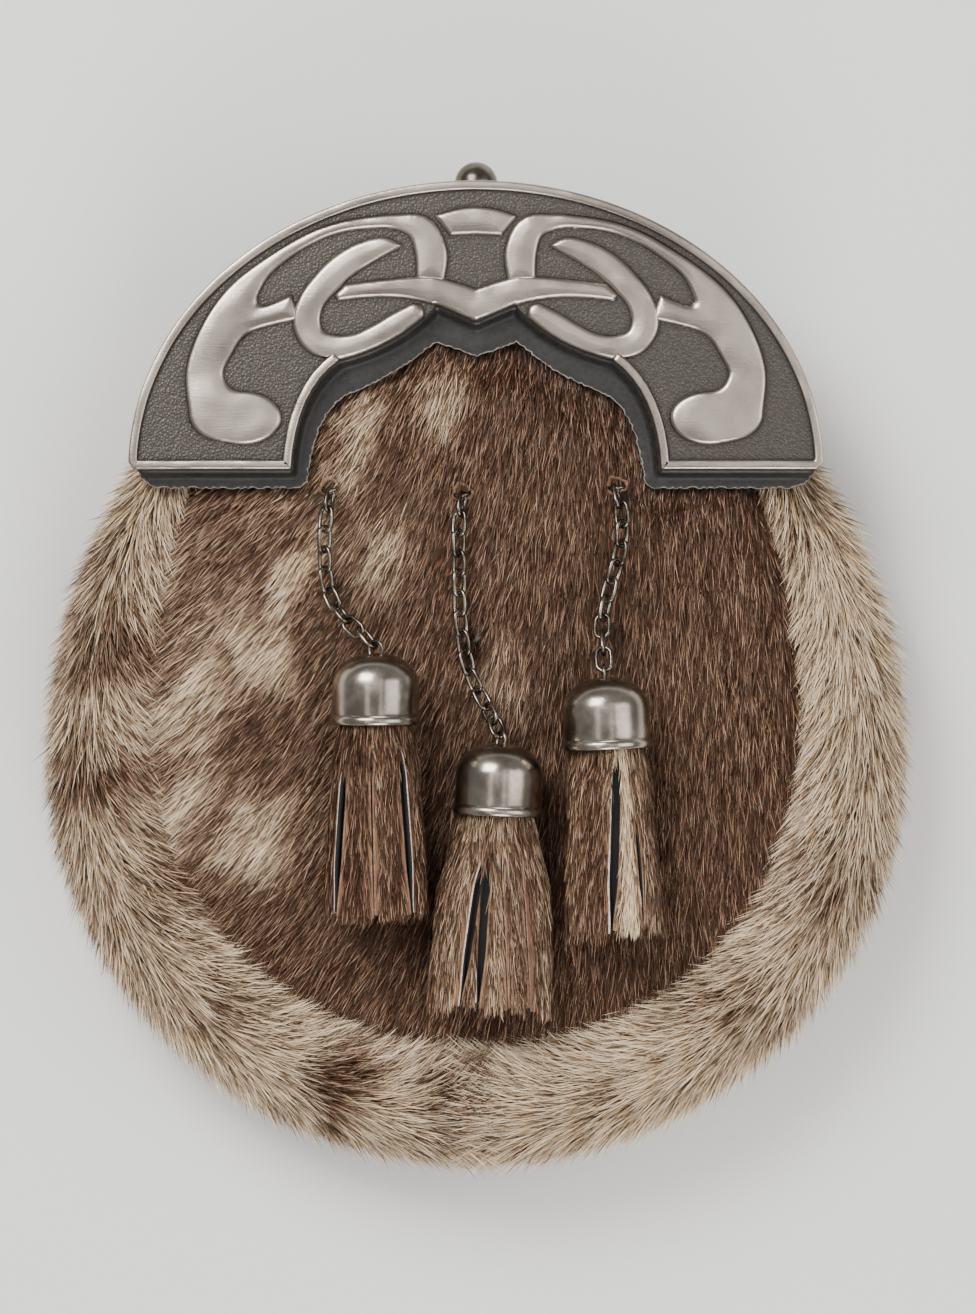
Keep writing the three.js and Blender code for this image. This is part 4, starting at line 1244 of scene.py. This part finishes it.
# Hair: a ribbon of a few faces set on the hide, lying along its flow
strand = {
    "stations": (0.0, 0.5, 1.0), "widths": (1.0, 0.8, 0.0), "curl": 0.12, "lockScale": 260.0, "roll": 0.75,
}
furInputs = ("Density", "Length", "Width", "Lift", "Spread", "Clump")
furTypes = {  # hairs to the square metre, metres long and wide, lift off the hide, spread of direction, locks
    "panel": (5.1e6, 0.0078, 0.00028, 0.17, 0.24, 0.22),
    "gusset": (3.4e6, 0.0098, 0.00033, 0.24, 0.32, 0.30),
    "tassel": (4.6e6, 0.0058, 0.00024, 0.09, 0.18, 0.24),
}


def strandShape():
    # a hair one unit long and wide, pointed at its end
    points = []
    for at, width in zip(strand["stations"], strand["widths"]):
        bend = strand["curl"] * (at - at * at * 1.35)
        points += [(side * width, at, bend) for side in ((-0.5, 0.5) if width else (0.0,))]
    last = len(points) - 3
    faces = [(a, a + 1, a + 3, a + 2) for a in range(0, last, 2)] + [(last, last + 1, last + 2)]
    made = makeObject("strandShape", points, faces)
    giveAttribute(made, "along", [at for _, at, _ in points])
    return made


def furTree():
    numbers = dict.fromkeys(furInputs, "NodeSocketFloat")
    tree, given, result = newTree("fur", {"Seed": "NodeSocketInt", **numbers})

    def wire(name):
        return Wire(tree, given[name])

    def vector(operation, *values, **named):
        inputs = {**dict(enumerate(values)), **named}
        made = addNode(tree, "ShaderNodeVectorMath", {"operation": operation}, inputs)
        return made.outputs["Value" if operation == "DOT_PRODUCT" else "Vector"]

    def chance(low, high, offset):
        made = addNode(tree, "FunctionNodeRandomValue", {"data_type": "FLOAT"},
                       {2: low, 3: high, "Seed": wire("Seed") + offset})
        return Wire(tree, made.outputs[1])

    def anyWay(offset):
        made = addNode(tree, "FunctionNodeRandomValue", {"data_type": "FLOAT_VECTOR"},
                       {0: (-1, -1, -1), 1: (1, 1, 1), "Seed": wire("Seed") + offset})
        return made.outputs[0]

    density = wire("Density") * attributeWire(tree, "cover")
    scatter = addNode(tree, "GeometryNodeDistributePointsOnFaces", {"distribute_method": "RANDOM"},
                      {"Mesh": given["Geometry"], "Density": density, "Seed": given["Seed"]})
    normal = scatter.outputs["Normal"]
    jitter = vector("SCALE", anyWay(11), Scale=wire("Spread"))
    where = addNode(tree, "GeometryNodeInputPosition").outputs[0]
    locks = addNode(tree, "ShaderNodeTexNoise", {},
                    {"Vector": where, "Scale": strand["lockScale"], "Detail": 2.0})
    swirl = vector("SUBTRACT", locks.outputs["Color"], (0.5, 0.5, 0.5))
    swirl = vector("SCALE", swirl, Scale=wire("Clump") * 2.0)
    lift = vector("SCALE", normal, Scale=wire("Lift") * chance(0.35, 1.7, 23) * attributeWire(tree, "stand"))
    way = vector("ADD", attributeWire(tree, "flow", "FLOAT_VECTOR"), jitter)
    way = vector("ADD", way, swirl)
    # only what lies along the hide, then the lift off it
    standing = vector("DOT_PRODUCT", way, normal)
    way = vector("NORMALIZE", vector("SUBTRACT", way, vector("SCALE", normal, Scale=standing)))
    way = vector("ADD", way, lift)
    facing = vector("ADD", normal, vector("SCALE", anyWay(37), Scale=strand["roll"]))
    turn = addNode(tree, "FunctionNodeAxesToRotation", {"primary_axis": "Y", "secondary_axis": "Z"},
                   {"Primary Axis": way, "Secondary Axis": facing})
    long = wire("Length") * chance(0.62, 1.15, 41) * attributeWire(tree, "reach")
    wide = wire("Width") * chance(0.6, 1.25, 53)
    size = addNode(tree, "ShaderNodeCombineXYZ", {}, {0: wide, 1: long, 2: long})
    placed = setOnPoints(tree, given, scatter.outputs["Points"], turn.outputs[0], size.outputs[0])
    toned = addNode(tree, "GeometryNodeStoreNamedAttribute", {"data_type": "FLOAT", "domain": "INSTANCE"},
                    {"Geometry": placed, "Name": "chance", "Value": chance(0.0, 1.0, 67)})
    return endTree(tree, given, toned.outputs[0], result)


def hairMap(piece):
    # each hair has a small upright cell of its own on the piece's map
    mesh = piece.data
    across = len(strand["stations"]) * 2 - 1
    hairs = len(mesh.vertices) // across
    columns = max(1, math.ceil(math.sqrt(hairs * 3)))
    rows = math.ceil(hairs / columns)
    vertex = np.empty(len(mesh.loops), np.int32)
    mesh.loops.foreach_get("vertex_index", vertex)
    hair, spot = vertex // across, vertex % across
    at = np.repeat(strand["stations"], 2)[:across]
    side = np.tile((0.2, 0.8), len(strand["stations"]))[:across]
    side[-1] = 0.5
    u = (hair % columns + side[spot]) / columns
    v = (hair // columns + 0.1 + 0.8 * at[spot]) / rows
    layer = mesh.uv_layers.new(name="OFBake")
    layer.uv.foreach_set("vector", np.column_stack([u, v]).astype(np.float32).ravel())


hairShape = strandShape()
hairTree = furTree()


def growFur(skin, kind, name, finish, seed, slot, *standsFor):
    values = dict(zip(furInputs, furTypes[kind]), Shape=hairShape, Finish=finish, Seed=seed)
    fur = grown(skin, hairTree, values, name)
    for layer in [a.name for a in fur.data.attributes if a.name in ("flow", "cover", "reach", "stand")]:
        fur.data.attributes.remove(fur.data.attributes[layer])
    hairMap(fur)
    show(fur, slot, *standsFor)
    print(name, "has", len(fur.data.vertices) // (2 * len(strand["stations"]) - 1), "hairs")
    return fur


def walled(skin, name, thick, slot, *standsFor):
    # the hide given its thickness inwards, with the lining on its inner side
    thickened(skin, thick * mm)
    skin.name = skin.data.name = name
    return show(skin, slot, *standsFor)


def halfOf(piece, sign, name):
    # the faces on one side of the middle line
    shape = bmesh.new()
    shape.from_mesh(piece.data)
    gone = [face for face in shape.faces if face.calc_center_median().x * sign < 0]
    bmesh.ops.delete(shape, geom=gone, context="FACES")
    mesh = bpy.data.meshes.new(name)
    shape.to_mesh(mesh)
    shape.free()
    return linked(name, mesh)


def makePouch():
    front = panelSkin()
    bothSides = ((-1, "left"), (1, "right"))
    for sign, side in bothSides:
        part = halfOf(front, sign, "halfHide")
        growFur(part, "panel", "panelFur_" + side, panelHair, 3 + sign, "panel_fur", "front_panel")
        bpy.data.objects.remove(part)
    walled(front, "frontHide", pouch["panelWall"], "panel_fur", "front_panel")
    for sign, side in bothSides:
        skin = gussetSkin(sign)
        node = "gusset_" + side
        growFur(skin, "gusset", "gussetFur_" + side, gussetHair, 13 + sign, "gusset_fur", node)
        walled(skin, "gussetHide_" + side, pouch["gussetWall"], "gusset_fur", node)


makePouch()
print("pouch made")


# Raw lips of the holes that the chains come out of
lip = {"inner": 1.6, "outer": 2.6, "height": 39.1, "thick": 0.7, "turns": 36}


def makeLips():
    inner, outer, thick = lip["inner"], lip["outer"], lip["thick"]
    profile = [(0, -2.2), (inner * 0.8, -2.0), (inner, 0.2), (inner + 0.3, thick * 0.8), (inner + 0.9, thick),
               (outer - 0.4, thick * 0.5), (outer, -0.7)]
    parts = []
    for index, (hx, hy) in enumerate(holes.values()):
        made = turned("lip", profile, lip["turns"], [tanHide])
        for vertex in made.data.vertices:
            angle = math.atan2(vertex.co.z, vertex.co.x)
            wave = 1 + 0.14 * math.sin(3 * angle + index) + 0.08 * math.sin(7 * angle + 2 * index)
            vertex.co.x *= wave
            vertex.co.z *= wave * 0.9
        upright = Matrix.Rotation(math.pi / 2, 4, "X")
        parts.append(outwardNormals(moved(made, stood(hx, hy, lip["height"], upright))))
    return show(joined("holeLips", parts), "panel_fur")


makeLips()
print("hole lips made")


# Tassels: rolled hide cut into strips, over a dark core
tassel = {
    "thick": 1.3, "inset": 1.0, "rows": 26, "edge": 0.4, "curl": 0.4, "coreGap": 1.9, "coreSides": 40,
    "open": 1.2,  # slits wider than this show a pale cut on one side
    "bare": {"left": 1.9, "middle": 3.2, "right": 1.1},  # how far from a strip's edge the hair starts
    "tone": {"left": 0.18, "middle": 0.42, "right": 0.30},
}
tasselCuts = {  # share across at the cap and at the end, widest gap in mm, where the slit opens
    "left": [(-0.74, -0.76, 2.3, 0.18), (-0.12, -0.02, 0.3, 0.05), (0.62, 0.70, 1.9, 0.12)],
    "middle": [(-0.22, -0.46, 1.7, 0.22), (-0.16, -0.18, 2.1, 0.20), (0.05, 0.30, 0.25, 0.15),
               (0.45, 0.66, 0.25, 0.15)],
    "right": [(0.22, -0.10, 2.0, 0.0), (0.60, 0.55, 0.9, 0.35)],
}


def tasselForm(row):
    # down the tassel: distance below its cap's crown, share of the way, half width, half thickness and drop
    height, length, half = cap["height"], row["length"], row["half"]
    down = np.linspace(height * 0.6, height + length, tassel["rows"])
    share = np.clip((down - height) / length, 0, 1)
    neck = cap["radius"] - cap["bead"] / 2 - cap["wall"] - 0.3
    stations = [0.55 * height, height, height + 4]
    stations += [height + part * length for part in (0.35, 0.7, 1)]
    across = smoothThrough(stations, [neck * 0.8, neck, neck + 1, half * 0.86, half * 0.95, half], down)
    tall = smoothThrough(stations, [neck * 0.8, neck, neck, 9.0, 8.6, 8.2], down)
    drop = np.maximum(cap["radius"] - 0.4 - tall, 0) * smoothStep(height - 2, height + 4, down)
    return down, share, across - tassel["inset"], tall - tassel["inset"], drop


def slitsRound(cuts):
    # the slits as angles round the tassel: the front ones from the table, the back ones shared out
    front = [(math.acos(top), math.acos(bottom), gap, opens) for top, bottom, gap, opens in cuts]
    back = [(math.pi * k, math.pi * k, 0.5, 0.3) for k in (1.12, 1.5, 1.88)]
    return sorted(front + back, key=lambda slit: slit[1])


def slitSide(slit, sign, turn, share, across):
    # the angle of one side of a slit, down the tassel
    top, bottom, gap, opens = slit
    opening = gap * smoothStep(opens - 0.02, opens + 0.16, share) * (1 - 0.7 * smoothStep(0.7, 1, share))
    return top + (bottom - top) * share + turn + sign * (opening + 0.05) / 2 / across


def makeStrip(side, n, slit, after, form):
    # the hide between two slits, in the tassel's own millimetres
    down, share, across, tall, drop = form
    below = share[:, None]
    first = slitSide(slit, 1, 0, share, across)[:, None]
    last = slitSide(after, -1, 2 * math.pi if after[1] < slit[1] else 0, share, across)[:, None]
    wide = (last - first) * across[:, None]
    margin = np.array([0.0, tassel["edge"], 0.9, 2.0])[None] / wide
    inner = np.linspace(0, 1, 8)[None, 1:-1] * (1 - 2 * margin[:, -1:]) + margin[:, -1:]
    t = np.sort(np.clip(np.hstack([margin, inner, 1 - margin[:, ::-1]]), 0, 1), axis=1)
    angle = first * (1 - t) + last * t
    fromEdge = np.minimum(t, 1 - t) * wide
    curl = tassel["curl"] * np.exp(-((fromEdge / 0.7) ** 2)) * below
    lengthen = 0.8 * math.sin(n * 2.3) + 0.35 * np.sin(t * 9 + n)
    y = -(down[:, None] + lengthen * smoothStep(0.8, 1, below))
    x = (across[:, None] + curl) * np.cos(angle)
    z = (tall[:, None] + curl) * np.sin(angle) - drop[:, None]
    points = np.stack([x, y, z], axis=-1)
    edged = np.zeros((t.shape[0] - 1, t.shape[1] - 1), int)  # 1 for a tan cut, 2 for a pale one
    for (_, bottom, gap, opens), column in ((slit, 0), (after, -1)):
        outer = (column == 0) == (math.cos(bottom) < 0)
        edged[share[1:] > opens + 0.04, column] = 2 if outer and gap > tassel["open"] else 1
    strip = makeObject("strip", points.reshape(-1, 3), loftFaces(*t.shape),
                       [suede, tanHide, paleHide, coreLeather], edged.ravel())
    bare = np.minimum(tassel["bare"][side], 0.22 * wide) * smoothStep(0.1, 0.5, below) + 0.15
    cover = smoothStep(0.4 * bare, bare, fromEdge) * smoothStep(0.0, 0.12, below + 0.14)
    cover = cover * np.where(np.sin(angle) < -0.5, 0.6, 1.0)
    streak = 1.2 * np.exp(-((np.cos(angle) - 0.34) / 0.16) ** 2) if side == "right" else 0.0
    pale = tassel["tone"][side] + streak + 0.12 * np.sin(angle * 5 + n)
    guideHair(strip, t.shape, unit(np.gradient(points, axis=0)), pale=np.clip(pale, 0, 1.2), cover=cover,
              stand=1.0, reach=1.0 - 0.45 * smoothStep(0.86, 1.0, below))
    return strip


def makeCore(side, form):
    # the dark bundle inside; its end is closed by smaller and smaller wavy rings
    down, share, across, tall, drop = form
    sides = tassel["coreSides"]
    angle = np.linspace(0, 2 * math.pi, sides, endpoint=False)[None]
    shrink = tassel["coreGap"] - 0.5 * smoothStep(0.85, 1, share)
    x = (across - shrink)[:, None] * np.cos(angle)
    z = (tall - shrink)[:, None] * np.sin(angle) - drop[:, None]
    y = np.broadcast_to(-(down - 0.9 * share)[:, None], x.shape)
    rings = np.array([0.86, 0.7, 0.52, 0.34, 0.16])[:, None]
    wave = 0.35 * np.sin(9 * angle + 14 * rings) * rings
    x = np.vstack([x, x[-1:] * rings])
    z = np.vstack([z, (z[-1:] + drop[-1]) * rings - drop[-1]])
    y = np.vstack([y, y[-1:] + 0.3 * rings + wave])
    points = np.stack([x, y, z], axis=-1).reshape(-1, 3)
    faces = loftFaces(len(x), sides, closed=True)
    faces += [tuple(range(sides)), tuple(range(len(points) - 1, len(points) - sides - 1, -1))]
    ended = [int(n >= (len(down) - 1) * sides) for n in range(len(faces))]
    ended[-2] = 0  # the upper end, inside the cap
    return outwardNormals(makeObject("tasselCore_" + side, points, faces, [coreLeather, stripEnds], ended))


def makeTassel(side, row):
    form, slits, node = tasselForm(row), slitsRound(tasselCuts[side]), "tassel_" + side
    place = tasselPlace(row)
    afters = slits[1:] + slits[:1]
    strips = [makeStrip(side, n, slit, after, form) for n, (slit, after) in enumerate(zip(slits, afters))]
    skin = moved(joined("tasselHide_" + side, strips), place)
    growFur(skin, "tassel", "tasselFur_" + side, tasselHair, 31 + len(side), "tassel_fur", node)
    show(thickened(skin, tassel["thick"] * mm, 1, 3), "tassel_fur", node)
    show(moved(makeCore(side, form), place), "black_leather", node)


for side, row in tassels.items():
    makeTassel(side, row)
bpy.data.objects.remove(hairShape)
print("tassels made")


# The back: a leather panel, stitched round its edge, with the closing tab and two belt loops
back = {
    "thick": 2.5, "low": 3.2, "lift": 6.5, "liftFrom": -70.0, "liftTo": -10.0, "puff": 0.35,
    "grid": (220, 50), "rings": 25, "rounding": 0.0005,
}
stitch = {"long": 2.6, "pitch": 4.0, "wide": 0.8, "inset": 4.0, "dip": 0.35, "stations": 6, "sides": 6}


def backHeight(y):
    return back["low"] + back["lift"] * smoothStep(back["liftFrom"], back["liftTo"], y)


def makeBackPanel():
    shares = np.linspace(0, 1, back["rings"] + 1)[1:]
    flat, share, _, faces = panelGrid(*back["grid"], shares)
    x, y = flat.T
    puff = back["puff"] * np.sin(x * 0.09) * np.sin(y * 0.07)
    points = np.column_stack([flat, backHeight(y) + np.abs(puff) * (1 - share) + 0.5 * share ** 12])
    faces = [tuple(face[::-1]) for face in facingUp(points, faces)]
    sheet = makeObject("backLeatherPanel", inRow(points), faces, [backLeather, lining])
    return show(thickened(sheet, back["thick"] * mm, 1, 0), "black_leather", "back_panel")


def stitchShape():
    # a short waxed stitch that dips at both ends
    points = []
    stations, sides = stitch["stations"], stitch["sides"]
    for k in range(stations):
        at = k / (stations - 1) * 2 - 1
        radius = stitch["wide"] / 2 * math.sqrt(max(1 - abs(at) ** 3, 0.05))
        for s in range(sides):
            turn = 2 * math.pi * s / sides
            height = radius * 0.8 * math.sin(turn) - stitch["dip"] * at ** 4
            points.append((at * stitch["long"] / 2, radius * math.cos(turn), height))
    faces = loftFaces(stations, sides, closed=True)
    faces += [tuple(range(sides))[::-1], tuple(range((stations - 1) * sides, stations * sides))]
    return outwardNormals(makeObject("stitchShape", np.array(points) * mm, faces))


def evenly(points, pitch):
    # spots a pitch apart on a closed line, and the way the line runs there
    line = np.vstack([points, points[:1]])
    length = np.r_[0, np.cumsum(np.linalg.norm(np.diff(line, axis=0), axis=1))]
    at = np.linspace(0, length[-1], max(2, round(length[-1] / pitch)), endpoint=False)

    def spots(where):
        return np.stack([np.interp(where, length, column) for column in line.T], axis=1)

    return spots(at), spots(at + pitch / 4) - spots(at - pitch / 4)


def makeStitches():
    shape, tree = stitchShape(), placingTree("stitching")
    outline, _ = panelOutline(*back["grid"])
    centre = np.array([0, pouch["panelY"]])
    reach = np.linalg.norm(outline - centre, axis=1, keepdims=True)
    spots, ways = evenly(centre + (outline - centre) * (1 - stitch["inset"] / reach), stitch["pitch"])
    places = inRow(np.column_stack([spots, backHeight(spots[:, 1]) - 0.1]))
    outward, bases = Vector((0, 0, -1)), []
    for way in ways:
        along = Vector((*way, 0)).normalized()
        side = outward.cross(along).normalized()
        bases.append((along, side, along.cross(side)))
    show(setOut("backStitches", places, bases, tree, shape, threadFinish), "black_leather")
    bpy.data.objects.remove(shape)


def makeStraps():
    for node in ("belt_loop_left", "belt_loop_right", "closing_tab"):
        made = smoothed(inFinish(bevelledCopy(node + "_leather", node, back["rounding"]), backLeather))
        markSharp(made, 40)
        show(made, "black_leather", node)


makeBackPanel()
makeStitches()
makeStraps()
print("back made")
